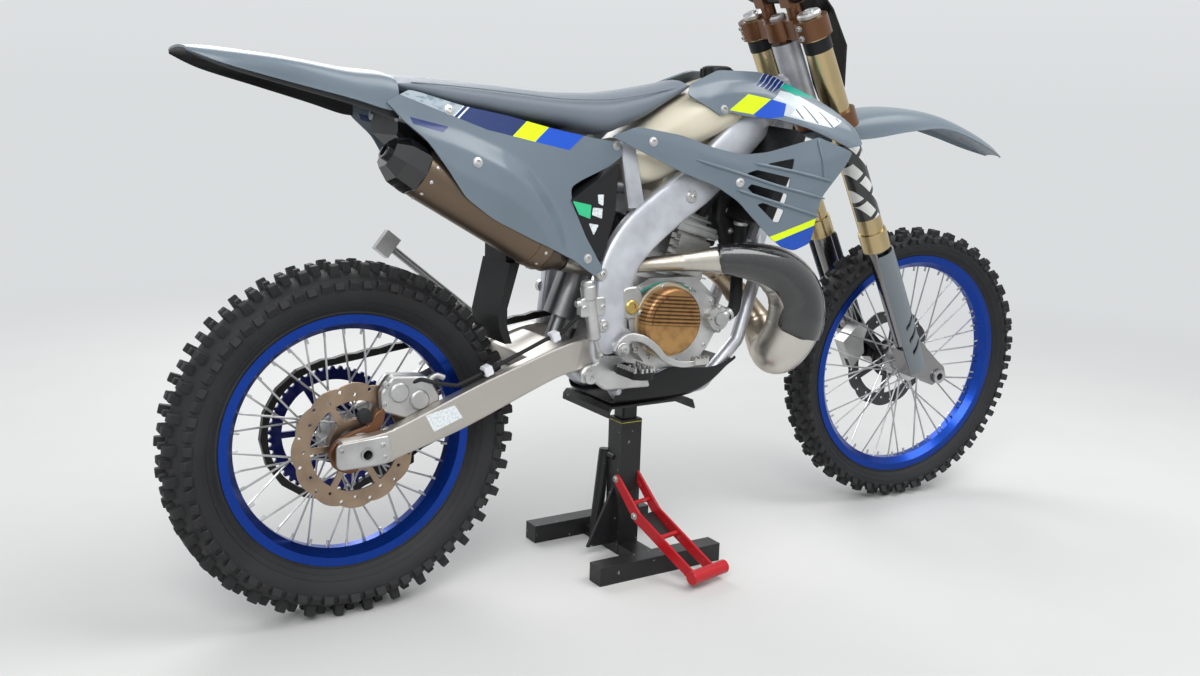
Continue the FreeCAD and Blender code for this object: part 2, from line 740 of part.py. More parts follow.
spar_stations = [
    (head_point.x - 14, -24, head_point.z - 10, -0.45, 0.9, 104, 34),
    (342, -28, 1000, -0.42, 0.9, 92, 34),
    (288, -64, 968, -0.45, 0.9, 82, 34),
    (246, -86, 944, -0.5, 0.85, 80, 32),
    (99, -99, 823, -0.62, 0.78, 90, 32),
    (-62, -104, 716, -0.72, 0.7, 92, 32),
    (-112, -104, 648, -0.95, 0.3, 88, 32),
    (-122, -104, 570, -1, 0, 84, 32),
    (-124, -104, 470, -1, -0.1, 84, 32),
    (-108, -100, 425, -0.9, -0.4, 62, 28),
]
spar = beam(spar_stations).cut(head_core)
spar = spar.cut(drum((swing_pivot.x, -200, swing_pivot.z), (swing_pivot.x, 200, swing_pivot.z), 10))
feature("frame_spars", pair(spar.cut(right_arm)))

cradle_z = float(size.cradleFloor)
cradle_r = float(size.cradleRadius)
lower_tube = bent_tube([(-96, -92, 405), (-70, -70, cradle_z), (150, -66, cradle_z), (246, -64, 470),
                        (296, -54, 600),
                        (330, -14, 690)], cradle_r, 30)
down_middle = fork_straight.multVec(Vector(-84, 0, 712))
down_top = fork_straight.multVec(Vector(-26, 0, 812))
down_tube = beam([(326, 0, 676, 1, -0.4, 44, 56), (372, 0, 790, 1, -0.4, 46, 48),
                  (down_middle.x, 0, down_middle.z, 1, -0.3, 42, 42),
                  (down_top.x, 0, down_top.z, 1, -0.7, 46, 40)]).cut(head_core)
cross_tube = drum((20, -70, cradle_z), (20, 70, cradle_z), 12)
cradle = down_tube.multiFuse([lower_tube, mirrored(lower_tube), cross_tube])
feature("frame_cradle", cradle.cut(spar).cut(mirrored(spar)))

upper_rail = bent_tube([(-70, -78, 888), (-300, -70, 888), (-556, -62, 940)], 11, 60)
lower_rail = bent_tube([(-126, -84, 712), (-260, -74, 800), (-440, -66, 905)], 11, 60)
rail_link = drum((-300, -70, 888), (-300, 70, 888), 9)
mast = beam([(-62, -100, 770, -1, 0, 40, 14), (-80, -84, 905, -1, 0, 34, 14)])
rails = upper_rail.multiFuse([lower_rail, mast]).cut(spar)
shock_high = Vector(-68, 0, 806)
tower_radius = 12
tower_tube = drum((shock_high.x, -94, shock_high.z), (shock_high.x, 94, shock_high.z), tower_radius)
silencer_front = (-273, -100, 694)
silencer_back = (-533, -100, 843)
hanger = slab([(-366, 838), (-318, 866), (-330, 772), (-372, 752)], -86, -76)
hanger = hanger.cut(drum(silencer_front, silencer_back, size.silencerRadius + seat_gap))
feature("subframe", rails.multiFuse([mirrored(rails), rail_link, tower_tube, hanger]))

# Seat: x, half width low, half width high, underside, top
seat_table = [
    (-568, 96, 84, 985, 1011),
    (-470, 98, 92, 958, 1006),
    (-330, 98, 90, 938, 998),
    (-230, 96, 86, 927, 993),
    (-130, 90, 76, 909, 993),
    (-40, 78, 62, 932, 1001),
    (40, 64, 52, 980, 1014),
    (92, 52, 42, 1004, 1024),
]
feature("seat", slices([(x, hull_slice(low_half, high_half, low, high))
                        for x, low_half, high_half, low, high in seat_table]))

tank_upper = [
    (-50, 72, 70, 860, 905),
    (10, 92, 88, 850, 958),
    (70, 110, 100, 875, 985),
    (140, 114, 100, 905, 1020),
    (205, 104, 84, 930, 1042),
    (248, 86, 62, 955, 1036),
]
tank_lower = [
    (-44, 60, 60, 815, 870),
    (20, 76, 76, 800, 880),
    (110, 78, 78, 758, 910),
    (180, 72, 72, 790, 940),
]
tank = slices([(x, hull_slice(*row)) for x, *row in tank_upper])
tank = tank.fuse(slices([(x, hull_slice(*row, bevel=0.15)) for x, *row in tank_lower]))
tank = tank.fuse(drum((200, 0, 1030), (206, 0, 1060), 34))
spar_room = beam([(x, y, z, up_x, up_z, height + 2 * seat_gap, thick + 2 * seat_gap)
                  for x, y, z, up_x, up_z, height, thick in spar_stations[:7]])
tank = tank.cut(spar_room).cut(mirrored(spar_room))
tank = tank.cut(Part.makeBox(150, 126, 70, Vector(36, -63, 735)))
feature("fuel_tank", tank)

# Side panels
panel_main = [
    (-592, [(-121, 966), (-122, 961), (-123, 955), (-124, 950)]),
    (-531, [(-112, 968), (-122, 940), (-128, 920), (-131, 902)]),
    (-467, [(-106, 961), (-120, 915), (-154, 850), (-156, 808)]),
    (-380, [(-102, 950), (-117, 898), (-154, 806), (-155, 756)]),
    (-295, [(-99, 938), (-113, 880), (-150, 780), (-154, 710)]),
    (-217, [(-95, 925), (-106, 870), (-124, 800), (-146, 672)]),
]
panel_arm = [
    (-217, [(-95, 925), (-106, 870), (-120, 802)]),
    (-160, [(-95, 914), (-104, 880), (-114, 842)]),
    (-104, [(-98, 905), (-104, 885), (-108, 862)]),
]
panel_leg = [
    (-217, [(-124, 801), (-134, 740), (-146, 672)]),
    (-180, [(-129, 730), (-132, 690), (-133, 658)]),
    (-146, [(-130, 664), (-130, 655), (-130, 645)]),
]
side_panel = across(panel_main, inward=1).multiFuse([across(panel_arm, inward=1),
                                                     across(panel_leg, inward=1)])
feature("side_panels", pair(side_panel))

fender_table = [
    (-915, [(-76, 1024), (-70, 1038), (0, 1043), (70, 1038), (76, 1024)]),
    (-760, [(-102, 990), (-90, 1026), (0, 1032), (90, 1026), (102, 990)]),
    (-620, [(-118, 952), (-98, 1006), (0, 1018), (98, 1006), (118, 952)]),
    (-574, [(-112, 950), (-98, 1000), (0, 1012), (98, 1000), (112, 950)]),
    (-566, [(-110, 946), (-97, 968), (0, 976), (97, 968), (110, 946)]),
    (-470, [(-96, 923), (-90, 946), (0, 950), (90, 946), (96, 923)]),
    (-300, [(-76, 910), (-70, 924), (0, 927), (70, 924), (76, 910)]),
]
feature("rear_fender", across(fender_table, down=1).cut(side_panel).cut(mirrored(side_panel)))

plastic = float(size.plasticWall)
airbox_table = [
    (-556, 66, 66, 905, 972),
    (-430, 60, 68, 790, 946),
    (-330, 60, 72, 720, 925),
    (-200, 62, 72, 690, 918),
    (-120, 60, 60, 720, 850),
]
airbox = slices([(x, hull_slice(*row, bevel=0.12)) for x, *row in airbox_table])
under_fender = [(x, points + [(300, points[-1][1]), (300, 1200), (-300, 1200), (-300, points[0][1])])
                for x, points in fender_table]
airbox = airbox.cut(slices([(x, [(y, z - plastic - seat_gap) for y, z in points]) for x,
                            points in under_fender]))
vent = slab([(-118, 858), (-190, 812), (-222, 790), (-176, 690), (-150, 668), (-122, 760)], -118, -72)
airbox = airbox.multiFuse([vent, mirrored(vent)])
silencer_room = drum((-220, -100, 664), (-630, -100, 899), size.silencerRadius + 5)
pipe_room = drum((-80, -66, 642), (-250, -80, 664), 24)
shock_room = drum((-216, 0, 434), shock_high, 44)
for room in (silencer_room, pipe_room, shock_room, rails, mirrored(rails), rail_link, hanger, side_panel,
             mirrored(side_panel)):
    airbox = airbox.cut(room)
airbox = airbox.cut(beam(spar_stations)).cut(mirrored(beam(spar_stations)))
feature("airbox", airbox)

flap = slab([(-322, 664), (-300, 664), (-326, 575), (-326, 540), (-315, 505), (-330, 505), (-342, 532),
             (-346, 560)], -58, 58)
flap_hanger = slab([(-322, 650), (-300, 650), (-300, 712.6), (-322, 717.6)], -40, 50)
feature("mud_flap", flap.fuse(flap_hanger).cut(airbox))

eye_radius = 14
shock_low = Vector(bridge_front + eye_radius + seat_gap, 0, 475)
shock_line = (shock_high - shock_low).normalize()
shock = drum(shock_low, shock_high, 16)
shock = shock.fuse(drum(shock_low + shock_line * 70, shock_high - shock_line * 80, 36))
shock = shock.fuse(drum(shock_high - shock_line * 80, shock_high - shock_line * 40, 27))
for middle, eye in ((shock_low, eye_radius), (shock_high, tower_radius + 7)):
    shock = shock.fuse(drum(middle - Vector(0, 15, 0), middle + Vector(0, 15, 0), eye))
tower_hole = drum(shock_high - Vector(0, 40, 0), shock_high + Vector(0, 40, 0), tower_radius + seat_gap)
feature("shock_absorber", shock.cut(tower_hole))

# Engine
case_outline = [(-108, 470), (-60, 440), (60, 424), (130, 444), (168, 500), (168, 570), (110, 620),
                (-10, 622),
                (-80, 590), (-84, 520)]
cases = slab(case_outline, -84, 84)
right_case = slab([(-70, 490), (-40, 455), (60, 440), (120, 470), (150, 520), (130, 580), (60, 612),
                   (-30, 606),
                   (-84, 560)], -118, -84)
left_case = slab([(0, 470), (60, 440), (120, 470), (150, 530), (120, 590), (50, 605), (0, 570)], 84, 104)
chain_room = belt(loop_rear + chain_wall + 4, loop_front + chain_wall + 4, chain_y - 12, 90)
output_shaft = drum((front_sprocket.x, chain_y - 14, front_sprocket.z),
                    (front_sprocket.x, chain_y + 10, front_sprocket.z), 12)
output_gear = drum((front_sprocket.x, chain_y - 3, front_sprocket.z),
                   (front_sprocket.x, chain_y + 3, front_sprocket.z),
                   front_sprocket_radius)
cases = cases.multiFuse([right_case, left_case]).cut(chain_room)
cases = cases.cut(lower_tube).cut(mirrored(lower_tube)).cut(spar).cut(mirrored(spar))
feature("engine_cases", cases.multiFuse([output_shaft, output_gear]))
clutch_x = 12
clutch_z = 539
clutch_face = -150
clutch_step = float(size.clutchRadius) - 6
clutch_cover = drum((clutch_x, -118, clutch_z), (clutch_x, clutch_face + 5, clutch_z), size.clutchRadius)
clutch_cover = clutch_cover.fuse(drum((clutch_x, -118, clutch_z), (clutch_x, clutch_face, clutch_z),
                                      clutch_step))
rib_height = 3
rib_width = 4
for rise in (6, 17, 28, 39):
    reach = math.sqrt((clutch_step - 6) ** 2 - (rise + rib_width) ** 2)
    rib = Part.makeBox(2 * reach, rib_height + 1, rib_width,
                       Vector(clutch_x - reach, clutch_face - rib_height, clutch_z + rise))
    clutch_cover = clutch_cover.fuse(rib)
feature("clutch_cover", clutch_cover)
feature("water_pump", drum((138, -118, 536), (138, -142, 536), 26))
block_turn = Rotation(Vector(0, 1, 0), 12)
barrel = Part.makeBox(110, 120, 120, Vector(-55, -60, 0))
barrel.Placement = Placement(Vector(92, 0, 605), block_turn)
top = Part.makeBox(100, 110, 36, Vector(-50, -55, 120))
top.Placement = Placement(Vector(92, 0, 605), block_turn)
feature("cylinder", barrel.fuse(top).cut(cases))

pipe_table = [
    (165, 0, 640, 21),
    (225, 0, 618, 23),
    (285, -4, 566, 27),
    (326, -26, 505, 34),
    (330, -72, 452, 45),
    (318, -122, 452, 55),
    (336, -146, 508, 60),
    (330, -150, 575, 57),
    (286, -146, 626, 49),
    (216, -139, 652, 38),
    (130, -128, 660, 28),
    (50, -112, 657, 19),
    (-30, -80, 650, 15),
    (-90, -66, 644, 15),
    (-150, -68, 648, 15),
    (-190, -82, 658, 16),
    (-232, -95, 670, 20),
]
feature("exhaust_pipe", cones(pipe_table))
feature("pipe_guard", crescent_shell(pipe_table[6:11], Vector(0.25, -1, 0.5), 78, 0.3, 4))

can_way = Vector(*silencer_back) - Vector(*silencer_front)


def eight_corners(centre, radius):
    """Eight-sided outline across the silencer, with flats above and below."""
    flat = turned_to(can_way)
    corners = []
    for i in range(8):
        turn = math.radians(22.5 + 45 * i)
        corners.append(centre + flat.multVec(Vector(math.cos(turn), math.sin(turn), 0)) * radius)
    return ring(corners)


can = drum(silencer_front, silencer_back, size.silencerRadius)
inlet = cones([(-232, -95, 670, 20), (-273, -100, 694, 45.9)])
end_cap = ruled([eight_corners(centre, radius) for centre, radius in
                 ((Vector(-529, -100, 841), 45.9), (Vector(-563, -100, 862), 45),
                  (Vector(-588, -100, 873), 30))])
feature("silencer", can.fuse(end_cap).fuse(inlet).cut(cones(pipe_table)))

skid_low = cradle_z - cradle_r - float(size.skidWall)
skid_outline = [(-90, skid_low), (146, skid_low), (222, 416), (218, 420), (144, skid_low + 4),
                (-90, skid_low + 4)]
skid = slab(skid_outline, -92, 92)
skid_wing = slab([(-60, skid_low), (140, skid_low), (212, 420), (190, 440), (120, 412), (-60, 400)], -96,
                 -92)
feature("skid_plate", skid.multiFuse([skid_wing,
                                      mirrored(skid_wing)]).cut(lower_tube).cut(mirrored(lower_tube)))

peg = slab([(-122, 438), (-66, 438), (-66, 458), (-122, 458)], -208, -128)
peg = peg.fuse(slab([(-150, 426), (-66, 426), (-66, 456), (-150, 456)], -136, -104))
feature("footpegs", pair(peg.cut(spar)))

pedal = bent_tube([(-105, -131, 490), (-92, -134, 512), (-64, -148, 510), (-26, -163, 474), (22, -168, 457),
                   (66, -168, 458)], 7, 12)
pedal_tip = slab([(40, 452), (82, 456), (84, 466), (40, 468)], -178, -160)
pedal = pedal.multiFuse([drum((-105, -112, 490), (-105, -140, 490), 13), pedal_tip])
feature("brake_pedal", pedal.cut(spar).cut(lower_tube))
shifter = bent_tube([(14, 114, 480), (70, 130, 466), (112, 134, 470)], 6, 20)
shifter = shifter.multiFuse([drum((14, 104, 480), (14, 120, 480), 11),
                             drum((112, 122, 470), (112, 165, 470), 10)])
feature("shift_lever", shifter)

master = drum((-170, -130, 520), (-190, -130, 630), 13)
master = master.fuse(slab([(-196, 560), (-150, 560), (-150, 600), (-196, 600)], -136, -116))
feature("rear_master_cylinder", master.cut(spar))
hose_out = -98
hose_points = [(-190, -130, 572), (-214, -124, 556), (-232, -112, 530), (-262, hose_out, 516),
               (-380, hose_out, 468),
               (-452, hose_out, 443), (-494, hose_out, 452), (-520, -88, 460), (-538, -78, 452)]
hose = bent_tube(hose_points, float(size.hoseRadius), 14)
hose_clip = slab([(-402, 458), (-378, 466), (-374, 478), (-398, 470)], hose_out - 8, hose_out + 8)
hose = hose.fuse(hose_clip)
for neighbour in (master, caliper, swing_body):
    hose = hose.cut(neighbour)
feature("rear_brake_hose", hose)

# Radiators and their shrouds
radiator_turn = Rotation(Vector(0, 1, 0), 24).multiply(Rotation(Vector(0, 0, 1), 14))
core_thick = 34
core_width = 96
core_high = 212
radiator = Part.makeBox(core_thick, core_width, core_high,
                        Vector(-core_thick / 2, -core_width / 2, -core_high / 2))
fin_pitch = float(size.finPitch)
fin_depth = float(size.finDepth)
gaps = []
for i in range(int((core_high - 40) / fin_pitch)):
    gaps.append(Part.makeBox(fin_depth, core_width - 16, fin_pitch / 2, Vector(
        core_thick / 2 - fin_depth, 8 - core_width / 2, 20 - core_high / 2 + i * fin_pitch)))
radiator = radiator.cut(Part.makeCompound(gaps))
radiator.Placement = Placement(Vector(256, -118, 832), radiator_turn)
feature("radiators", pair(radiator.cut(spar)))

shroud_body = [
    (196, [(-155, 882), (-170, 800), (-175, 742)]),
    (230, [(-162, 887), (-180, 800), (-186, 708)]),
    (281, [(-174, 902), (-196, 800), (-194, 684)]),
    (329, [(-186, 915), (-206, 840), (-206, 744)]),
    (395, [(-206, 900), (-212, 880), (-213, 858)]),
    (413, [(-212, 892), (-213, 890), (-214, 886)]),
]
shroud_strap = [
    (-136, [(-118, 914), (-119, 911), (-119, 908)]),
    (-74, [(-114, 930), (-119, 910), (-119, 890)]),
    (26, [(-124, 914), (-134, 878), (-135, 842)]),
    (104, [(-134, 892), (-144, 853), (-145, 815)]),
    (154, [(-144, 880), (-152, 833), (-156, 785)]),
    (196, [(-155, 882), (-170, 800), (-175, 742)]),
]
# Openings between the shroud's struts
shroud_windows = [
    [(196, 862), (266, 872), (262, 852), (188, 857)],
    [(130, 841), (258, 834), (250, 808), (166, 829)],
    [(178, 813), (246, 797), (240, 776), (196, 786)],
    [(190, 780), (239, 770), (231, 731), (222, 729)],
]
shroud_band = [
    (66, [(-60, 1020), (-76, 1006), (-88, 994)]),
    (110, [(-66, 1034), (-100, 1000), (-112, 968)]),
    (170, [(-62, 1050), (-110, 1000), (-120, 958)]),
    (256, [(-70, 1050), (-128, 1000), (-142, 953)]),
    (323, [(-106, 1016), (-146, 980), (-166, 940)]),
    (420, [(-160, 968), (-188, 940), (-206, 903)]),
    (448, [(-186, 932), (-194, 920), (-205, 900)]),
]
shroud_join = [
    (339, [(-168, 935), (-180, 925), (-187, 913)]),
    (413, [(-204, 905), (-208, 895), (-212, 884)]),
]
shroud = across(shroud_body, inward=1).multiFuse([across(shroud_strap, inward=1),
                                                  across(shroud_band, inward=1),
                                                  across(shroud_join, inward=1)])
for corners in shroud_windows:
    shroud = shroud.cut(slab(corners, -240, -120))
# Bosses that reach the radiator: x, z, y inside the panel
for x, z, y in ((257, 788, -187), (294, 896, -176)):
    shroud = shroud.fuse(drum((x, y + 26, z), (x, y, z), 6))
feature("radiator_shrouds", pair(shroud.cut(radiator)))


# Fork, clamps and bars, in the fork's own frame
tube_y = float(size.forkSpacing / 2)
lead = float(size.forkLead)
axle_lead = float(size.axleLead)
tube_foot = float(size.outerTubeFoot)
fork_top = float(size.forkTop)
outer_r = float(size.outerTubeRadius)
inner_r = float(size.innerTubeRadius)

outer_tube = drum((lead, -tube_y, tube_foot), (lead, -tube_y, 871), outer_r)
outer_tube = outer_tube.multiFuse([drum((lead, -tube_y, tube_foot), (lead, -tube_y, tube_foot + 46),
                                        outer_r + 4),
                                   drum((lead, -tube_y, 871), (lead, -tube_y, fork_top - 8), outer_r - 1),
                                   drum((lead, -tube_y, fork_top - 8), (lead, -tube_y, fork_top),
                                        outer_r - 5)])
feature("fork_outer_tubes", pair(outer_tube), fork_place)

lug_low = -14
leg = drum((lead, -tube_y, 70), (lead, -tube_y, tube_foot), inner_r)
lug = ruled([ring([(e, y - tube_y, s) for e, y in ((lead + a, -24), (lead + b, -24), (lead + b, 20),
                                                   (lead + a, 20))])
             for a, b, s in ((-28, 28, 118), (-24, 60, 40), (18, 74, 12), (26, 72, lug_low))])
leg = leg.fuse(lug)
leg = leg.cut(drum((axle_lead, -300, 0), (axle_lead, 300, 0), size.frontAxleRadius))
feature("fork_legs", pair(leg), fork_place)

guard_table = [
    (lead, -tube_y, 48, 32),
    (lead, -tube_y, 200, 33),
    (lead, -tube_y, 372, 33),
]
fork_guard = crescent_shell(guard_table, Vector(0.75, -1, 0), 82, 0, 3.5)
slot_low = 96
slot_pitch = 34
for i in range(3):
    s = slot_low + i * slot_pitch
    slot = slab([(lead - 8, s), (lead + 22, s + 22), (lead + 22, s + 34), (lead - 8, s + 12)], -tube_y - 50,
                -tube_y - 20)
    fork_guard = fork_guard.cut(slot)
guard_foot = Part.makeBox(20, 12, 30, Vector(lead - 10, -tube_y - 33, 50))
feature("fork_guards", pair(fork_guard.fuse(guard_foot).cut(leg)), fork_place)

front_half = tube_y + 32
axle_tube = drum((0, -front_half, 0), (0, front_half - 4, 0), size.frontAxleRadius)
axle_tube = axle_tube.fuse(drum((0, -front_half, 0), (0, -front_half + 7, 0), 17))
spacer_low = 60.5
for side in (-1, 1):
    axle_tube = axle_tube.fuse(drum((0, side * spacer_low, 0), (0, side * (tube_y - 20), 0), 19))
feature("front_axle", axle_tube.cut(drum((0, -300, 0), (0, 300, 0), size.axleBore)), front_place)


def clamp(low, high, half_x, ear):
    """Triple clamp round both tubes and the stem."""
    rings = [drum((lead, side * tube_y, low), (lead, side * tube_y, high), ear) for side in (-1, 1)]
    web = Part.makeBox(half_x * 2, tube_y * 2, high - low, Vector(lead + 2 - half_x, -tube_y, low))
    web = web.fuse(drum((0, 0, low), (0, 0, high), 34))
    return web.multiFuse(rings)


stem = drum((0, 0, 700), (0, 0, 946), size.stemRadius)
upper = clamp(903, 945, 22, outer_r + 9)
for side in (-1, 1):
    upper = upper.cut(drum((lead, side * tube_y, 800), (lead, side * tube_y, 1000), outer_r - 1))
    upper = upper.fuse(drum((lead + 6, side * 48, 945), (lead + 6, side * 48, 976), 16))
bar_e = lead + 6
bar_s = 990
upper = upper.multiFuse([Part.makeBox(40, 34, 34, Vector(bar_e - 20, side * 48 - 17, 972)) for side in (-1,
                                                                                                        1)])
bar_points = [(-46, -402, 1080), (-10, -170, 1066), (bar_e, -82, bar_s), (bar_e, 82, bar_s),
              (-10, 170, 1066),
              (-46, 402, 1080)]
bar = bent_tube(bar_points, float(size.barRadius), 40)
feature("upper_clamp", upper.cut(drum((0, 0, 800), (0, 0, 1100), size.stemRadius)).cut(
    drum((bar_e, -120, bar_s), (bar_e, 120, bar_s), size.barRadius)), fork_place)
lower = clamp(690, 728, 24, outer_r + 10)
for side in (-1, 1):
    lower = lower.cut(drum((lead, side * tube_y, 600), (lead, side * tube_y, 800), outer_r))
feature("lower_clamp", lower.fuse(stem), fork_place)
feature("handlebar", bar, fork_place)

grip_way = Vector(-36, -232, 14).normalize()
bar_end = Vector(-46, -402, 1080)
grip = drum(bar_end - grip_way * 118, bar_end + grip_way * 4, size.gripRadius)
grip = grip.cut(drum(bar_end - grip_way * 200, bar_end, size.barRadius))
feature("grips", pair(grip), fork_place)

perch_at = bar_end - grip_way * 150
perch = drum(perch_at - grip_way * 14, perch_at + grip_way * 14, 22)
perch = perch.cut(drum(perch_at - grip_way * 60, perch_at + grip_way * 60, size.barRadius))
lever = bent_tube([perch_at + Vector(20, 0, -2), perch_at + Vector(52, -20, -4),
                   perch_at + Vector(48, -150, -8)], 5, 10)
feature("control_levers", pair(perch.fuse(lever)), fork_place)

guard_shape = ruled([
    ring([(24, -396, 1060), (24, -396, 1112), (27, -390, 1112), (27, -390, 1060)]),
    ring([(62, -380, 1015), (62, -380, 1128), (66, -374, 1128), (66, -374, 1015)]),
    ring([(86, -320, 1000), (86, -320, 1128), (89, -314, 1128), (89, -314, 1000)]),
    ring([(92, -250, 1020), (92, -250, 1110), (94, -244, 1110), (94, -244, 1020)]),
])
guard_stay = bent_tube([(perch_at.x + 14, perch_at.y + 26, perch_at.z), (60, -236, 1066), (92, -262, 1066)],
                       5, 10)
guard_clamp = drum(perch_at - grip_way * 34, perch_at - grip_way * 18, 20)
guard_clamp = guard_clamp.cut(drum(perch_at - grip_way * 60, perch_at + grip_way * 60, size.barRadius))
feature("hand_guards", pair(guard_shape.fuse(guard_stay).fuse(guard_clamp).cut(bar)), fork_place)

plate_rows = [(-720, 40, 72), (-755, 58, 80), (-842, 78, 100), (-930, 78, 92), (-1010, 66, 70)]
plate_wires = []
for s, half, e in plate_rows:
    front = [(e, -half), (e + 16, -half * 0.6), (e + 22, 0), (e + 16, half * 0.6), (e, half)]
    back = [(ee - 3.5, yy) for ee, yy in front[::-1]]
    plate_wires.append(ring([(ee, yy, -s) for ee, yy in front + back]))
number_plate = ruled(plate_wires)
plate_stay = Part.makeBox(90, 24, 14, Vector(24, -12, 905))
feature("number_plate", number_plate.fuse(plate_stay.cut(upper)), fork_place)

# Front fender, drawn straight ahead on the bike and steered with the fork
to_fork = fork_straight.inverse()
front_fender_table = [
    (455, [(-52, 902), (-48, 912), (0, 916), (48, 912), (52, 902)]),
    (560, [(-76, 918), (-62, 952), (0, 962), (62, 952), (76, 918)]),
    (640, [(-92, 930), (-70, 970), (0, 980), (70, 970), (92, 930)]),
    (760, [(-100, 950), (-72, 976), (0, 982), (72, 976), (100, 950)]),
    (910, [(-78, 922), (-58, 938), (0, 942), (58, 938), (78, 922)]),
    (1065, [(-34, 868), (-24, 876), (0, 878), (24, 876), (34, 868)]),
]
front_fender = across(front_fender_table, down=1)
for side in (-1, 1):
    keep_out = drum((lead, side * tube_y, 300), (lead, side * tube_y, 900), outer_r + 0.3)
    keep_out.Placement = fork_straight
    front_fender = front_fender.cut(keep_out)
for side in (-1, 1):
    boss = drum((22, side * 34, 660), (22, side * 34, 690), 9)
    boss.Placement = fork_straight
    front_fender = front_fender.fuse(boss)
feature("front_fender", front_fender, steered)

front_caliper = slab([(-62, 40), (-62, 120), (0, 140), (20, 118), (-6, 90), (-14, 60)], 44, 80.9)
front_slot = Part.makeCylinder(float(size.frontDiscRadius) + 6, 14,
                               Vector(axle_lead, float(size.frontDiscOut) - 7, 0), Vector(0, 1, 0))
front_caliper = front_caliper.cut(front_slot)
feature("front_brake_caliper", front_caliper.cut(mirrored(leg)), fork_place)

# Side stand, folded back along the left arm
stand_pivot = Vector(-186, 128, 436)
stand_foot = Vector(-493, 172, 689)
stand_folded = (stand_foot - stand_pivot).normalize()
stand_down = Vector(0.10, 0.36, -0.928).normalize()
stand_axis = stand_down.cross(stand_folded).normalize()
stand_eye_half = 8
stand_pin_r = 6
stand_pin_way = drum(stand_pivot - stand_axis * 40, stand_pivot + stand_axis * 40,
                     stand_pin_r + float(size.runningGap))
stand_leg = drum(stand_pivot, stand_foot, 8)
pad = Part.makeBox(46, 22, 34, Vector(-23, -11, -30))
pad.Placement = Placement(stand_foot, turned_to(stand_folded))
eye = drum(stand_pivot - stand_axis * stand_eye_half, stand_pivot + stand_axis * stand_eye_half, 17)
stand_leg = stand_leg.multiFuse([pad, eye]).cut(stand_pin_way)
feature("side_stand", stand_leg)
stand_pin = drum(stand_pivot - stand_axis * 28, stand_pivot + stand_axis * 14, stand_pin_r)
stand_cap = drum(stand_pivot + stand_axis * 10, stand_pivot + stand_axis * 14, 10)
stand_mount = slab([(-214, 412), (-104, 412), (-104, 444), (-206, 446)], 86, 108)
stand_bracket = stand_mount.multiFuse([stand_pin,
                                       stand_cap]).cut(mirrored(spar)).cut(swing_body).cut(mirrored(peg))
feature("side_stand_bracket", stand_bracket)

# Lift stand
half_length = float(size.standLength) / 2
half_width = float(size.standWidth) / 2
foot_width = float(size.footWidth)
foot_height = float(size.footHeight)
foot = Part.makeBox(half_length * 2, foot_width, foot_height, Vector(-half_length, -half_width, 0))
cross = Part.makeBox(50, half_width * 2 - foot_width, foot_height * 0.6,
                     Vector(-25, -half_width + foot_width / 2, 0))
post_w = float(size.postWidth)
post_top = float(size.postTop)
post = Part.makeBox(post_w, post_w, post_top, Vector(-post_w / 2, -post_w / 2, 0))
gusset = slab([(-26, 20), (-90, 20), (-26, 150)], -4, 4)
inner_w = float(size.innerPostWidth)
table_top = skid_low
table_low = table_top - float(size.tableThickness)
post_hole = Part.makeBox(inner_w, inner_w, 200, Vector(-inner_w / 2, -inner_w / 2, post_top - 120))
feature("stand_base", foot.multiFuse([mirrored(foot), cross, post, gusset]).cut(post_hole))
inner_post = Part.makeBox(inner_w, inner_w, table_low - post_top + 120,
                          Vector(-inner_w / 2, -inner_w / 2, post_top - 120))
table = Part.makeBox(float(size.tableLength), float(size.tableWidth), float(size.tableThickness),
                     Vector(-118, -float(size.tableWidth) / 2, table_low))
feature("stand_table", inner_post.fuse(table))

lever_side = ruled([ring([(x - 12, y - 3, z), (x + 12, y - 3, z), (x + 12, y + 3, z), (x - 12, y + 3, z)])
                    for x, y, z in ((0, -31, 178), (14, -90, 110), (30, -255, 30))])
lever_other = lever_side.copy()
lever_other.translate(Vector(52, 0, 0))
lever_arms = lever_side.fuse(lever_other)
lever_arms.translate(Vector(-30, 0, 0))
pedal_tube = drum((-20, -262, 24), (98, -262, 24), 14)
lever_bars = drum((-24, -95, 108), (40, -95, 108), 7)
lever_pivot = drum((-44, -31, 178), (40, -31, 178), 8)
feature("stand_lever", lever_arms.multiFuse([pedal_tube, lever_bars, lever_pivot]).cut(post))

doc.recompute()
for thing in doc.Objects:
    for word in ("Invalid", "Error"):
        if word in thing.State:
            raise RuntimeError("%s failed: %s" % (thing.Label, thing.State))
unsound = []
for label, thing in nodes.items():
    shape = thing.Shape
    if shape.isNull() or not shape.isValid() or not shape.Solids:
        unsound.append(label)
if unsound:
    raise RuntimeError("no sound solid in: %s" % ", ".join(unsound))
for label, thing in nodes.items():
    thing.Shape.exportStep("parts/%s.step" % label)
    print("%-24s solids %2d  volume %10.0f" % (label, len(thing.Shape.Solids), thing.Shape.Volume))
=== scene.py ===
# Enduro motorcycle on its lift stand, dressed for the render
import json
import math

import bmesh
import bpy
from mathutils import Matrix, Vector
from mathutils.geometry import delaunay_2d_cdt


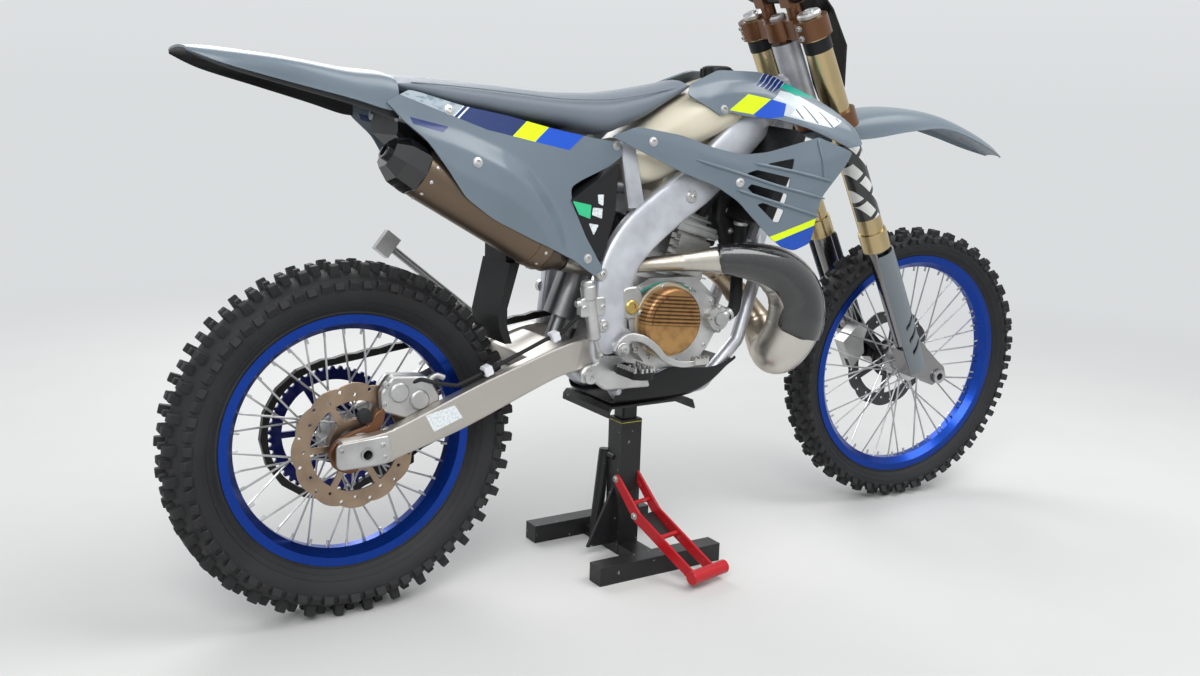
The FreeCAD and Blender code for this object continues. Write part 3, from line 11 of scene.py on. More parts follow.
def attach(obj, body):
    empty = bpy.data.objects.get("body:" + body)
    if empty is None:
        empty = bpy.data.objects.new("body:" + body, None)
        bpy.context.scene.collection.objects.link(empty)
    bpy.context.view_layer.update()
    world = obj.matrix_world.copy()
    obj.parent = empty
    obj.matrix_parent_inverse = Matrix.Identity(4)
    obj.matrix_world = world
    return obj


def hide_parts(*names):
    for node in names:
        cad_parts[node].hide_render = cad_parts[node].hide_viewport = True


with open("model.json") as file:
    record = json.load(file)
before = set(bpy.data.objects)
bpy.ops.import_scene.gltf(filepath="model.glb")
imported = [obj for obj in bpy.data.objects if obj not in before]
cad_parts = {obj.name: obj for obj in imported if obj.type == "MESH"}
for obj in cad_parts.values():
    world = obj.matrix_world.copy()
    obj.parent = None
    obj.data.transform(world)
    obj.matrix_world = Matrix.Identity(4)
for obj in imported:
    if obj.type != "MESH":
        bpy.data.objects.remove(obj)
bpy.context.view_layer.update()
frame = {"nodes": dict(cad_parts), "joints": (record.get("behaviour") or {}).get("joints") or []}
joints = {joint["name"]: joint for joint in frame["joints"]}
print("frame loaded")


def mm(table):
    # lengths in millimetres, nested as they are, to metres
    if isinstance(table, (int, float)):
        return table / 1000
    return type(table)(mm(part) for part in table)


def spin(degrees, axis):
    return Matrix.Rotation(math.radians(degrees), 4, axis)


# Camera at the photograph's place

view = {
    "place": (-1.37011, -2.025, 0.96608),
    "yaw": 32.649,     # degrees from +Y towards +X
    "pitch": 11.290,   # degrees down
    "roll": -1.859,
    "lens": 34.71,
    "sensor": 36.0,
}


def makeCamera():
    yaw, pitch, roll = (math.radians(view[name]) for name in ("yaw", "pitch", "roll"))
    ahead = Vector((math.sin(yaw) * math.cos(pitch), math.cos(yaw) * math.cos(pitch), -math.sin(pitch)))
    right = Vector((math.cos(yaw), -math.sin(yaw), 0))
    down = ahead.cross(right)
    across = right * math.cos(roll) + down * math.sin(roll)
    below = down * math.cos(roll) - right * math.sin(roll)
    camera = bpy.data.objects.new("camera", bpy.data.cameras.new("camera"))
    bpy.context.scene.collection.objects.link(camera)
    turn = Matrix((across, -below, -ahead)).transposed().to_4x4()
    camera.matrix_world = Matrix.Translation(view["place"]) @ turn
    camera.data.lens = view["lens"]
    camera.data.sensor_width = view["sensor"]
    bpy.context.scene.camera = camera


makeCamera()


# Shader sums: a wire is one output socket, and Python's operators add Math nodes to it

class Wire:
    def __init__(self, bench, socket):
        self.bench = bench
        self.socket = socket

    def calc(self, kind, *terms):
        return self.bench.node("ShaderNodeMath", {"operation": kind}, terms)

    def alone(self, kind):
        return self.calc(kind, self)

    def out(self, name):
        return Wire(self.bench, self.socket.node.outputs[name])

    def __add__(self, other):
        return self.calc("ADD", self, other)

    def __radd__(self, other):
        return self.calc("ADD", other, self)

    def __sub__(self, other):
        return self.calc("SUBTRACT", self, other)

    def __rsub__(self, other):
        return self.calc("SUBTRACT", other, self)

    def __mul__(self, other):
        return self.calc("MULTIPLY", self, other)

    def __rmul__(self, other):
        return self.calc("MULTIPLY", other, self)

    def __gt__(self, other):
        return self.calc("GREATER_THAN", self, other)

    def __lt__(self, other):
        return self.calc("LESS_THAN", self, other)


class Bench:
    # a node tree and the one method that adds its nodes
    def __init__(self, tree):
        self.tree = tree

    def node(self, kind, settings=None, values=()):
        made = self.tree.nodes.new(kind)
        for word, setting in (settings or {}).items():
            if word == "stops":
                for stop, (spot, colour) in zip(made.color_ramp.elements, setting):
                    stop.position = spot
                    stop.color = (*colour, 1)
            else:
                setattr(made, word, setting)
        for slot, amount in values.items() if isinstance(values, dict) else enumerate(values):
            if isinstance(amount, Wire):
                self.tree.links.new(amount.socket, made.inputs[slot])
            else:
                made.inputs[slot].default_value = amount
        return Wire(self, next((socket for socket in made.outputs if socket.enabled), None))


class Finish(Bench):
    def __init__(self, name, colour, rough, metal=0.0, coat=0.0, **more):
        self.material = bpy.data.materials.new(name)
        self.material.use_nodes = True
        super().__init__(self.material.node_tree)
        self.shader = self.tree.nodes["Principled BSDF"]
        fixed = {"Base Color": (*colour, 1), "Roughness": rough, "Metallic": metal, "Coat Weight": coat}
        for slot, amount in (fixed | {word.replace("_", " "): amount for word, amount in more.items()}).items():
            self.put(slot, amount)
        self.place = self.node("ShaderNodeTexCoord").out("Object")
        split = self.node("ShaderNodeSeparateXYZ", values=[self.place])
        self.x, self.y, self.z = (split.out(axis) for axis in "XYZ")

    def put(self, slot, amount):
        if isinstance(amount, Wire):
            self.tree.links.new(amount.socket, self.shader.inputs[slot])
        else:
            self.shader.inputs[slot].default_value = amount

    def noise(self, scale, detail=3, place=None):
        return self.node("ShaderNodeTexNoise",
                         values={"Vector": place or self.place, "Scale": scale, "Detail": detail})

    def stretched(self, across, along, up):
        return self.node("ShaderNodeMapping", values={"Vector": self.place, "Scale": (across, along, up)})

    def mix(self, share, first, second):
        colours = [c if isinstance(c, Wire) else (*c, 1) for c in (first, second)]
        return self.node("ShaderNodeMix", {"data_type": "RGBA"}, {0: share, 6: colours[0], 7: colours[1]})

    def layered(self, colour, layers):
        # each layer is a mask and the colour that it lays over those before
        for mask, above in layers:
            colour = self.mix(mask, colour, above)
        return colour

    def bump(self, height, depth, strength=1.0):
        return self.node("ShaderNodeBump", values={"Height": height, "Distance": depth, "Strength": strength})

    def step(self, amount, low, high):
        return self.node("ShaderNodeMapRange", values={"Value": amount, "From Min": low, "From Max": high})

    def inside(self, corners):
        # 1 inside a convex outline of (x, z) corners in millimetres, seen from the side
        whole, corners = None, mm(corners)
        for (ax, az), (bx, bz) in zip(corners, corners[1:] + corners[:1]):
            reach = math.hypot(bx - ax, bz - az)
            nx, nz = (az - bz) / reach, (bx - ax) / reach
            part = (self.x * nx + self.z * nz) > (ax * nx + az * nz)
            whole = part if whole is None else whole * part
        return whole


# Finishes

wear = {
    "plasticGrain": 900, "plasticWave": 6, "rubberGrain": 700, "vinylGrain": 1400, "castGrain": 500,
    "brushStretch": 1500, "dust": (0.23, 0.20, 0.16),
}


def dimmed(colour, share):
    return tuple(part * share for part in colour)


def plainPlastic(name, colour, rough=0.45, coat=0.0):
    finish = Finish(name, colour, rough, coat=coat, Specular_IOR_Level=0.3 if max(colour) < 0.05 else 0.5)
    grain = finish.noise(wear["plasticGrain"], 2)
    smear = finish.noise(14, 5)
    finish.put("Roughness", rough - 0.08 + smear * 0.16)
    shade = dimmed(colour, 0.82)
    finish.put("Base Color", finish.mix(finish.noise(5, 4), shade, colour))
    finish.put("Normal", finish.bump(grain, 0.00007, 0.35))
    return finish


def moulded(finish, colour, rough=0.24):
    # glossy moulded panel: slow waves, fine scuffs, a little dust
    wave = finish.noise(wear["plasticWave"], 2)
    scuff = finish.noise(220, 6, finish.stretched(1, 1, 5))
    marks = finish.step(scuff, 0.60, 0.72)
    finish.put("Roughness", rough + marks * 0.16 + wave * 0.05)
    pale = tuple(min(1, part * 1.12 + 0.006) for part in colour)
    finish.put("Normal", finish.bump(wave * 0.9 + marks * 0.004, 0.0015, 0.35))
    return finish.mix(wave, colour, pale)


slate = (0.118, 0.152, 0.182)
navy = (0.003, 0.020, 0.12)
blue = (0.004, 0.075, 0.52)
acid = (0.68, 0.86, 0.0)
teal = (0.0, 0.26, 0.19)
paper = (0.72, 0.76, 0.78)


def slatePlastic():
    finish = Finish("slatePlastic", slate, 0.32, coat=0.1, Coat_Roughness=0.2, Specular_IOR_Level=0.4)
    finish.put("Base Color", moulded(finish, slate, 0.3))
    return finish


def panelGraphics():
    # side panel: pale strip, navy field, acid and blue slants, a navy tab
    finish = Finish("panelGraphics", slate, 0.22, coat=0.25, Coat_Roughness=0.12, Specular_IOR_Level=0.4)
    field = finish.inside([(-600, 968), (-529, 944), (-403, 919), (-329, 894), (-257, 874), (-222, 880),
                           (-160, 925), (-400, 1020), (-600, 1020)])
    edge = finish.inside([(-600, 972), (-529, 948), (-403, 923), (-350, 909), (-350, 905), (-403, 919),
                          (-529, 944), (-600, 968)])
    tab = finish.inside([(-553, 927), (-496, 913), (-483, 923), (-558, 939)])
    flecks = finish.step(finish.noise(60, 3, finish.stretched(1, 1, 2.2)), 0.5, 0.62)
    lean = finish.x * 0.80 - finish.z
    lines = (lean * 95).alone("FRACT") > 0.62
    finish.put("Base Color", finish.layered(moulded(finish, slate, 0.28), [
        (field, finish.mix(flecks, (0.36, 0.42, 0.46), (0.20, 0.26, 0.30))),
        (field * (lean > -1.318) * (lean < -1.285), finish.mix(lines, navy, paper)),
        (field * (lean > -1.300), finish.mix(finish.noise(40, 4), navy, (0.01, 0.03, 0.12))),
        (field * (lean > -1.187), acid), (field * (lean > -1.137), blue), (field * (lean > -1.060), slate),
        (edge, paper), (tab, navy)]))
    return finish


def shroudGraphics():
    # shroud: acid and blue blocks, a pale hatched band, teal wedge, navy slashes, acid foot with a blue tip
    finish = Finish("shroudGraphics", slate, 0.22, coat=0.25, Coat_Roughness=0.12, Specular_IOR_Level=0.4)
    sheet = finish.inside([(250, 990), (268, 962), (300, 955), (380, 937), (410, 953), (372, 976),
                           (325, 1006), (284, 1012)])
    ladder = finish.inside([(290, 962), (381, 938), (406, 954), (320, 985)])
    wedge = finish.inside([(245, 1010), (319, 1003), (400, 958), (400, 972), (352, 1012), (312, 1034)])
    dark = finish.inside([(226, 1022), (262, 1008), (330, 1034), (280, 1052)])
    acidBlock = finish.inside([(152, 968), (206, 961), (250, 993), (200, 1002)])
    blueBlock = finish.inside([(206, 961), (222, 950), (273, 958), (285, 985), (250, 993)])
    rungs = ((finish.x * 0.9 + finish.z * 0.55) * 42).alone("FRACT") < 0.16
    stripes = ((finish.x - finish.z * 1.9) * 70).alone("FRACT") > 0.78
    foot, front = finish.z - finish.x * 0.36, finish.x > 0.2
    finish.put("Base Color", finish.layered(moulded(finish, slate, 0.28), [
        (sheet, finish.mix(finish.noise(30, 3), (0.42, 0.48, 0.50), (0.60, 0.66, 0.68))),
        (ladder, finish.mix(rungs, paper, (0.03, 0.05, 0.07))),
        (wedge, finish.mix(finish.noise(18, 3), teal, (0.0, 0.42, 0.32))),
        (dark, finish.mix(stripes, navy, (0.35, 0.42, 0.46))),
        (blueBlock, blue), (acidBlock, acid), ((foot < 0.632) * front, acid),
        ((foot < 0.6175) * front, finish.mix(finish.noise(50, 2), blue, (0.0, 0.05, 0.3)))]))
    return finish


def seatVinyl():
    finish = Finish("seatVinyl", (0.13, 0.155, 0.185), 0.5, Sheen_Weight=0.05, Specular_IOR_Level=0.35)
    cells = finish.node("ShaderNodeTexVoronoi", {"feature": "DISTANCE_TO_EDGE"},
                        {"Vector": finish.place, "Scale": wear["vinylGrain"]})
    worn = finish.noise(7, 4)
    finish.put("Base Color", finish.mix(worn, (0.115, 0.138, 0.165), (0.155, 0.180, 0.210)))
    finish.put("Roughness", 0.42 + worn * 0.16)
    finish.put("Normal", finish.bump(cells * 0.7 + finish.noise(30, 3) * 0.3, 0.0004, 0.4))
    return finish


def tankPlastic():
    finish = Finish("tankPlastic", (0.62, 0.56, 0.42), 0.3, Subsurface_Weight=0.25, Subsurface_Scale=0.02)
    cloud = finish.noise(4, 4)
    finish.put("Base Color", finish.mix(cloud, (0.55, 0.49, 0.36), (0.70, 0.66, 0.54)))
    finish.put("Roughness", 0.26 + cloud * 0.12)
    finish.put("Normal", finish.bump(finish.noise(120, 2), 0.0004, 0.25))
    return finish


def tyreRubber():
    finish = Finish("tyreRubber", (0.017, 0.017, 0.018), 0.7, Specular_IOR_Level=0.35)
    dirt = finish.step(finish.noise(9, 5), 0.42, 0.8)
    finish.put("Base Color", finish.mix(dirt, (0.013, 0.013, 0.014), (0.026, 0.026, 0.027)))
    finish.put("Roughness", 0.6 + dirt * 0.2)
    finish.put("Normal", finish.bump(finish.noise(wear["rubberGrain"], 3), 0.0006, 0.4))
    return finish


def anodised(name, colour, rough=0.26, metal=0.9):
    finish = Finish(name, colour, rough, metal=metal, coat=0.2, Coat_Roughness=0.1)
    haze = finish.noise(9, 4)
    deep = dimmed(colour, 0.72)
    finish.put("Base Color", finish.mix(haze, deep, colour))
    finish.put("Roughness", rough - 0.04 + finish.noise(300, 3) * 0.1)
    return finish


def castMetal(name, colour, rough=0.45, grain=0.0004, metal=0.9):
    finish = Finish(name, colour, rough, metal=metal)
    pits = finish.noise(wear["castGrain"], 5)
    stain = finish.noise(12, 6)
    dull = dimmed(colour, 0.56)
    finish.put("Base Color", finish.mix(finish.step(stain, 0.35, 0.75), colour, dull))
    finish.put("Roughness", rough - 0.08 + stain * 0.2)
    finish.put("Normal", finish.bump(pits, grain, 0.5))
    return finish


def brushed(name, colour, across, along, up, rough=0.3, metal=0.95):
    finish = Finish(name, colour, rough, metal=metal)
    streak = finish.noise(wear["brushStretch"], 3, finish.stretched(across, along, up))
    stain = finish.noise(8, 5)
    dull = dimmed(colour, 0.8)
    finish.put("Base Color", finish.mix(stain, dull, colour))
    finish.put("Roughness", rough - 0.06 + streak * 0.12 + stain * 0.06)
    finish.put("Normal", finish.bump(streak, 0.0002, 0.25))
    return finish


def turned(name, colour, joint, rough=0.3, metal=0.95):
    # marks in rings about a wheel's axle
    finish = Finish(name, colour, rough, metal=metal)
    centre, axis = joints[joint]["pos_m"], joints[joint]["axis"]
    arm = finish.node("ShaderNodeVectorMath", {"operation": "SUBTRACT"}, [finish.place, centre])
    moment = finish.node("ShaderNodeVectorMath", {"operation": "CROSS_PRODUCT"}, [arm, axis])
    reach = finish.node("ShaderNodeVectorMath", {"operation": "LENGTH"}, [moment]).out("Value")
    rings = finish.node("ShaderNodeTexNoise", {"noise_dimensions": "1D"}, {"W": reach, "Scale": 900, "Detail": 2})
    stain = finish.noise(20, 5)
    dark = dimmed(colour, 0.6)
    finish.put("Base Color", finish.mix(finish.step(stain, 0.4, 0.8), colour, dark))
    finish.put("Roughness", rough + rings * 0.16)
    finish.put("Normal", finish.bump(rings, 0.0002, 0.4))
    return finish


def wornCoverWithGrooveShade():
    # clutch cover: bronze rubbed through to brown, with painted shade in dark lines between the ribs
    finish = Finish("wornCoverWithGrooveShade", (0.40, 0.20, 0.06), 0.4, metal=0.75)
    patch = finish.step(finish.noise(70, 7), 0.45, 0.75)
    # darker towards the top
    worn = finish.mix(finish.step(finish.z, 0.47, 0.60), (0.47, 0.27, 0.10), (0.31, 0.165, 0.065))
    colour = finish.mix(patch * 0.6, worn, (0.18, 0.095, 0.040))
    x, z, pitch = 0.012, 0.535, 0.0078   # middle of the lowest rib and the ribs' distance
    rise = (finish.z - z + (finish.x - x) * 0.10) * (1 / pitch) + 0.5
    # painted shade: dark lines between the raised ribs stand in for the shade in their grooves
    paintedGrooveShade = ((rise.alone("FRACT") - 0.5).alone("ABSOLUTE") > 0.27) * (rise > 0.05) * (rise < 8.1)
    finish.put("Base Color", finish.mix(paintedGrooveShade * 0.85, colour, (0.055, 0.030, 0.015)))
    finish.put("Roughness", 0.34 + patch * 0.2)
    finish.put("Normal", finish.bump(finish.noise(400, 4), 0.0004, 0.4))
    return finish


def carbonWeave():
    finish = Finish("carbonWeave", (0.012, 0.012, 0.014), 0.4, coat=1.0, Coat_Roughness=0.05)
    pitch = 420
    rows = ((finish.x + finish.z) * pitch).alone("FLOOR")
    weave = ((finish.x - finish.z) * pitch * 0.5 + rows * 0.25 + finish.y * 90).alone("FRACT") > 0.5
    finish.put("Base Color", finish.mix(weave, (0.008, 0.008, 0.009), (0.015, 0.0155, 0.017)))
    finish.put("Roughness", 0.26 + weave * 0.08)
    return finish


def pipeSteel():
    # raw pipe: straw and brown where the gas is hot, nearer the cylinder
    finish = Finish("pipeSteel", (0.55, 0.53, 0.48), 0.3, metal=1.0)
    heat = finish.step(finish.noise(10, 4) * 0.3 + (0.30 - finish.y.alone("ABSOLUTE")) * 2.6, 0.5, 0.95)
    finish.put("Base Color", finish.mix(heat, (0.60, 0.58, 0.53), (0.34, 0.25, 0.16)))
    finish.put("Roughness", 0.24 + finish.noise(60, 5) * 0.18)
    finish.put("Normal", finish.bump(finish.noise(200, 3), 0.0003, 0.3))
    return finish


def paint(name, colour, rough=0.32):
    finish = Finish(name, colour, rough, Specular_IOR_Level=0.32)
    chips = finish.step(finish.noise(70, 7), 0.68, 0.71)
    dusty = finish.step(finish.noise(9, 5), 0.5, 0.8)
    tone = finish.mix(dusty * 0.06, colour, wear["dust"])
    finish.put("Base Color", finish.mix(chips, tone, (0.20, 0.19, 0.18)))
    finish.put("Roughness", rough + dusty * 0.25)
    finish.put("Normal", finish.bump(finish.noise(350, 3) - chips * 0.5, 0.0004, 0.35))
    return finish


def forkStripes():
    # fork foil: slanted black and white blocks
    finish = Finish("forkStripes", (0.02, 0.02, 0.02), 0.3, coat=0.5, Coat_Roughness=0.1)
    run = finish.z * 21 + finish.x * 15
    cross = finish.z * 13 - finish.x * 19 + 0.3
    blocks = 1 - (run.alone("FRACT") < 0.52) * (cross.alone("FRACT") > 0.22)
    finish.put("Base Color", finish.mix(blocks, (0.62, 0.62, 0.60), (0.016, 0.016, 0.017)))
    return finish


def plainFoil(name, colour, fleck=0.0):
    finish = Finish(name, colour, 0.32, coat=0.4, Coat_Roughness=0.1)
    spots = finish.step(finish.noise(240, 3), 0.5, 0.6) * fleck
    finish.put("Base Color", finish.mix(spots, colour, dimmed(colour, 0.5)))
    return finish


finishes = {
    "steel": castMetal("bareSteel", (0.46, 0.46, 0.47), 0.34, 0.0002),
    "brushed_aluminium": brushed("brushedAluminium", (0.54, 0.51, 0.47), 0.03, 1, 1, 0.36, 0.9),
    "chain_steel": castMetal("chainSteel", (0.035, 0.034, 0.033), 0.4, 0.0003),
    "black_plastic": plainPlastic("blackPlastic", (0.011, 0.011, 0.012), 0.48),
    "cast_silver": castMetal("castSilver", (0.60, 0.60, 0.59), 0.38, 0.0005),
    "raw_aluminium": castMetal("rawAluminium", (0.70, 0.72, 0.77), 0.42, 0.0003, 0.75),
    "seat_vinyl": seatVinyl(),
    "clear_plastic": tankPlastic(),
    "slate_plastic": slatePlastic(),
    "black_rubber": plainPlastic("blackRubber", (0.014, 0.014, 0.015), 0.62),
    "shock_steel": castMetal("shockSteel", (0.30, 0.30, 0.31), 0.3, 0.0002),
    "worn_bronze": wornCoverWithGrooveShade(),
    "raw_steel": pipeSteel(),
    "carbon_weave": carbonWeave(),
    "bronze_titanium": brushed("bronzeTitanium", (0.17, 0.125, 0.088), 0.1, 1, 0.1, 0.34, 0.85),
    "black_steel": castMetal("blackSteel", (0.02, 0.02, 0.021), 0.42, 0.0003, 0.6),
    "black_aluminium": castMetal("blackAluminium", (0.025, 0.025, 0.027), 0.4, 0.0002, 0.7),
    "black_paint": paint("blackPaint", (0.013, 0.013, 0.014), 0.36),
    "red_paint": paint("redPaint", (0.44, 0.008, 0.014), 0.3),
    "tyre_rubber": tyreRubber(),
    "blue_anodised": anodised("blueAnodised", (0.003, 0.046, 0.34), 0.28),
    "silver_hub": castMetal("silverHub", (0.58, 0.58, 0.58), 0.3, 0.0002),
    "bronze_disc": turned("bronzeDisc", (0.36, 0.265, 0.19), "rear_wheel_spin", 0.3),
    "navy_sprocket": anodised("navySprocket", (0.008, 0.012, 0.11), 0.34),
    "gold_anodised": anodised("goldAnodised", (0.60, 0.47, 0.25), 0.24, 1.0),
    "dark_chrome": brushed("darkChrome", (0.30, 0.29, 0.29), 1, 1, 1, 0.12, 1.0),
    "grey_plastic": plainPlastic("greyPlastic", (0.16, 0.185, 0.205), 0.4, 0.1),
    "bronze_clamp": anodised("bronzeClamp", (0.19, 0.085, 0.04), 0.36, 0.85),
    "blue_plastic": plainPlastic("bluePlastic", (0.003, 0.075, 0.62), 0.3, 0.4),
    "dark_disc": turned("darkDisc", (0.085, 0.085, 0.09), "front_wheel_spin", 0.32),
}
forkFoil = forkStripes()
paperFoil = plainFoil("paperFoil", paper, 0.5)
tealFoil = plainFoil("tealFoil", (0.02, 0.50, 0.22))
whitePlastic = plainPlastic("whitePlastic", (0.72, 0.73, 0.76), 0.4)
goldPlug = castMetal("goldPlug", (0.62, 0.46, 0.16), 0.3, 0.0002, 0.95)
tealSeal = plainPlastic("tealSeal", (0.0, 0.20, 0.15), 0.5)
yellowBand = plainPlastic("yellowBand", (0.62, 0.50, 0.06), 0.45)
darkPipe = brushed("darkPipe", (0.11, 0.085, 0.065), 0.1, 1, 0.1, 0.32, 0.9)
glossBlack = plainPlastic("glossBlack", (0.008, 0.008, 0.009), 0.16, 1.0)
paleRim = castMetal("paleRim", (0.66, 0.58, 0.42), 0.34, 0.0003)
panelFinish = panelGraphics()
shroudFinish = shroudGraphics()


def finishFrame():
    for part in frame["nodes"].values():
        for slot in part.material_slots:
            slot.material = finishes[slot.material.name.split(".")[0]].material


finishFrame()
print("finishes made")


# Mesh tools

def placed(name, part):
    mesh = bpy.data.meshes.new(name)
    mesh.from_pydata([tuple(point) for point in part[0]], [], part[1])
    item = bpy.data.objects.new(name, mesh)
    bpy.context.scene.collection.objects.link(item)
    return item


def evaluated(item, *tools):
    # points and faces after the item's modifiers; the item and its tools go
    bpy.context.view_layer.update()
    mesh = bpy.data.meshes.new_from_object(item.evaluated_get(bpy.context.evaluated_depsgraph_get()))
    part = [vert.co.copy() for vert in mesh.vertices], [list(face.vertices) for face in mesh.polygons]
    for used in (item, *tools):
        bpy.data.objects.remove(used)
    return part


def packed(part):
    mesh = bmesh.new()
    corners = [mesh.verts.new(point) for point in part[0]]
    for face in part[1]:
        mesh.faces.new([corners[i] for i in face])
    return mesh


def unpacked(mesh):
    mesh.verts.index_update()
    part = [vert.co.copy() for vert in mesh.verts], [[vert.index for vert in face.verts] for face in mesh.faces]
    mesh.free()
    return part


def joined(parts):
    points, faces = [], []
    for partPoints, partFaces in parts:
        start = len(points)
        points += partPoints
        faces += [[start + corner for corner in face] for face in partFaces]
    return points, faces


def mirrored(part):
    points, faces = part
    return [Vector((p[0], -p[1], p[2])) for p in points], [list(face)[::-1] for face in faces]


def both(part):
    return joined([part, mirrored(part)])


def moved(part, matrix):
    points, faces = part
    return [matrix @ Vector(point) for point in points], faces


def blendRow(rows, spot):
    # Catmull-Rom through equally long rows of points
    last = len(rows) - 1
    low = max(0, min(int(spot), last - 1))
    t = spot - low
    near = (rows[min(max(low + step, 0), last)] for step in (-1, 0, 1, 2))
    return [0.5 * (2 * q + (r - p) * t + (2 * p - 5 * q + 4 * r - s) * t * t + (3 * q - p - 3 * r + s) * t * t * t)
            for p, q, r, s in zip(*near)]


def resampled(rows, count):
    return [blendRow(rows, (len(rows) - 1) * i / (count - 1)) for i in range(count)]


def smoothed(rows, count):
    return resampled([[Vector(point) for point in row] for row in rows], count)


def spun(rows):
    # rows of a grid become columns
    return [list(column) for column in zip(*rows)]


def grid(rows, ring=False, caps=False):
    width = len(rows[0])
    points = [Vector(point) for row in rows for point in row]
    faces = []
    span = width if ring else width - 1
    for i in range(len(rows) - 1):
        for j in range(span):
            k = (j + 1) % width
            faces.append([i * width + j, i * width + k, (i + 1) * width + k, (i + 1) * width + j])
    if caps:
        for row, flip in ((0, True), (len(rows) - 1, False)):
            centre = sum((points[row * width + j] for j in range(width)), Vector()) / width
            points.append(centre)
            hub = len(points) - 1
            for j in range(width):
                k = (j + 1) % width
                corners = [row * width + j, row * width + k, hub]
                faces.append(corners[::-1] if flip else corners)
    return points, faces


def outwards(part):
    # faces turned to point out of a closed form
    mesh = packed(part)
    bmesh.ops.remove_doubles(mesh, verts=mesh.verts, dist=1e-6)
    bmesh.ops.recalc_face_normals(mesh, faces=mesh.faces)
    return unpacked(mesh)


def power(amount, exponent):
    return math.copysign(abs(amount) ** exponent, amount)


def ovalRing(centre, right, up, halfWidth, halfHeight, squareness, count=40):
    ring = []
    for i in range(count):
        angle = 2 * math.pi * i / count
        across, rise = (power(way(angle), 2 / squareness) for way in (math.cos, math.sin))
        ring.append(Vector(centre) + Vector(right) * (halfWidth * across) + Vector(up) * (halfHeight * rise))
    return ring


def closedForm(rings):
    return outwards(grid(rings, ring=True, caps=True))


def directions(points):
    last = len(points) - 1
    return [(points[min(i + 1, last)] - points[max(i - 1, 0)]).normalized() for i in range(last + 1)]


def tube(points, radii, sides=16, samples=0):
    # pipe along a smooth path; radii is one number or one for each point
    sizes = list(radii) if hasattr(radii, "__len__") else [radii] * len(points)
    rows = [[*Vector(point), size] for point, size in zip(points, sizes)]
    if samples:
        rows = resampled(rows, samples)
    path = [Vector(row[:3]) for row in rows]
    ways = directions(path)
    side = ways[0].orthogonal().normalized()
    rings = []
    for centre, way, row in zip(path, ways, rows):
        side = (side - way * side.dot(way)).normalized()
        rings.append(ovalRing(centre, side, way.cross(side), row[3], row[3], 2, sides))
    return closedForm(rings)


def lathe(profile, sides=64, closed=True):
    # turned about the local Y axis from (radius, y) corners
    rings = []
    for i in range(sides):
        angle = 2 * math.pi * i / sides
        rings.append([Vector((radius * math.cos(angle), y, radius * math.sin(angle))) for radius, y in profile])
    count = len(profile)
    points = [point for ring in rings for point in ring]
    faces = []
    for i in range(sides):
        after = (i + 1) % sides
        for j in range(count if closed else count - 1):
            k = (j + 1) % count
            faces.append([i * count + j, i * count + k, after * count + k, after * count + j])
    return outwards((points, faces))


def box(low, high, bevel=0.0):
    mesh = bmesh.new()
    bmesh.ops.create_cube(mesh, size=1)
    for vert in mesh.verts:
        vert.co = Vector([(a + b) / 2 + c * (b - a) for a, b, c in zip(low, high, vert.co)])
    if bevel:
        bmesh.ops.bevel(mesh, geom=mesh.edges, offset=bevel, segments=2, affect="EDGES")
    return unpacked(mesh)


def softCorners(corners, turnStep=12):
    # closed outline; each corner is (x, z, radius)
    outline = []
    count = len(corners)
    for i in range(count):
        here = Vector(corners[i][:2])
        before = Vector(corners[i - 1][:2]) - here
        after = Vector(corners[(i + 1) % count][:2]) - here
        radius = corners[i][2] if len(corners[i]) > 2 else 0.002
        turn = math.pi - before.angle(after)
        back = min(radius * math.tan(turn / 2), before.length * 0.49, after.length * 0.49)
        if turn < 0.02 or back < 1e-5:
            outline.append(here)
            continue
        start, end = here + before.normalized() * back, here + after.normalized() * back
        steps = max(2, int(math.degrees(turn) / turnStep))
        for j in range(steps + 1):
            t = j / steps
            outline.append(start * (1 - t) ** 2 + here * (2 * t * (1 - t)) + end * t * t)
    return outline


def within(spot, loops):
    odd = False
    for loop in loops:
        for i in range(len(loop)):
            a, b = loop[i - 1], loop[i]
            if (a[1] > spot[1]) != (b[1] > spot[1]):
                if spot[0] < (b[0] - a[0]) * (spot[1] - a[1]) / (b[1] - a[1]) + a[0]:
                    odd = not odd
    return odd


def finer(loop, step):
    result = []
    for i in range(len(loop)):
        a, b = Vector(loop[i]), Vector(loop[(i + 1) % len(loop)])
        parts = max(1, round((b - a).length / step))
        result += [a.lerp(b, j / parts) for j in range(parts)]
    return result


def filled(loops, step):
    # even triangles inside an outline with holes, all in (x, z)
    loops = [finer(loop, step) for loop in loops]
    spots, edges = [], []
    for loop in loops:
        start = len(spots)
        spots += loop
        edges += [(start + i, start + (i + 1) % len(loop)) for i in range(len(loop))]
    low = [min(spot[i] for spot in loops[0]) for i in (0, 1)]
    high = [max(spot[i] for spot in loops[0]) for i in (0, 1)]
    border = list(spots)
    rowCount = int((high[1] - low[1]) / (step * 0.87))
    for i in range(1, rowCount):
        z = low[1] + i * step * 0.87
        for j in range(int((high[0] - low[0]) / step) + 1):
            spot = Vector((low[0] + (j + (i % 2) / 2) * step, z))
            if within(spot, loops) and min((spot - near).length_squared for near in border) > (step * 0.55) ** 2:
                spots.append(spot)
    points, _, faces, *_ = delaunay_2d_cdt(spots, edges, [], 0, 1e-6)
    kept = []
    for face in faces:
        middle = sum((points[i] for i in face), Vector((0, 0))) / len(face)
        if within(middle, loops):
            kept.append(list(face))
    return points, kept


def alongLine(spots, where):
    # straight lines through (place, amount) pairs
    if where <= spots[0][0]:
        (a, p), (b, q) = spots[0], spots[1]
    elif where >= spots[-1][0]:
        (a, p), (b, q) = spots[-2], spots[-1]
    else:
        i = next(i for i in range(1, len(spots)) if where <= spots[i][0])
        (a, p), (b, q) = spots[i - 1], spots[i]
    return p + (q - p) * (where - a) / (b - a)


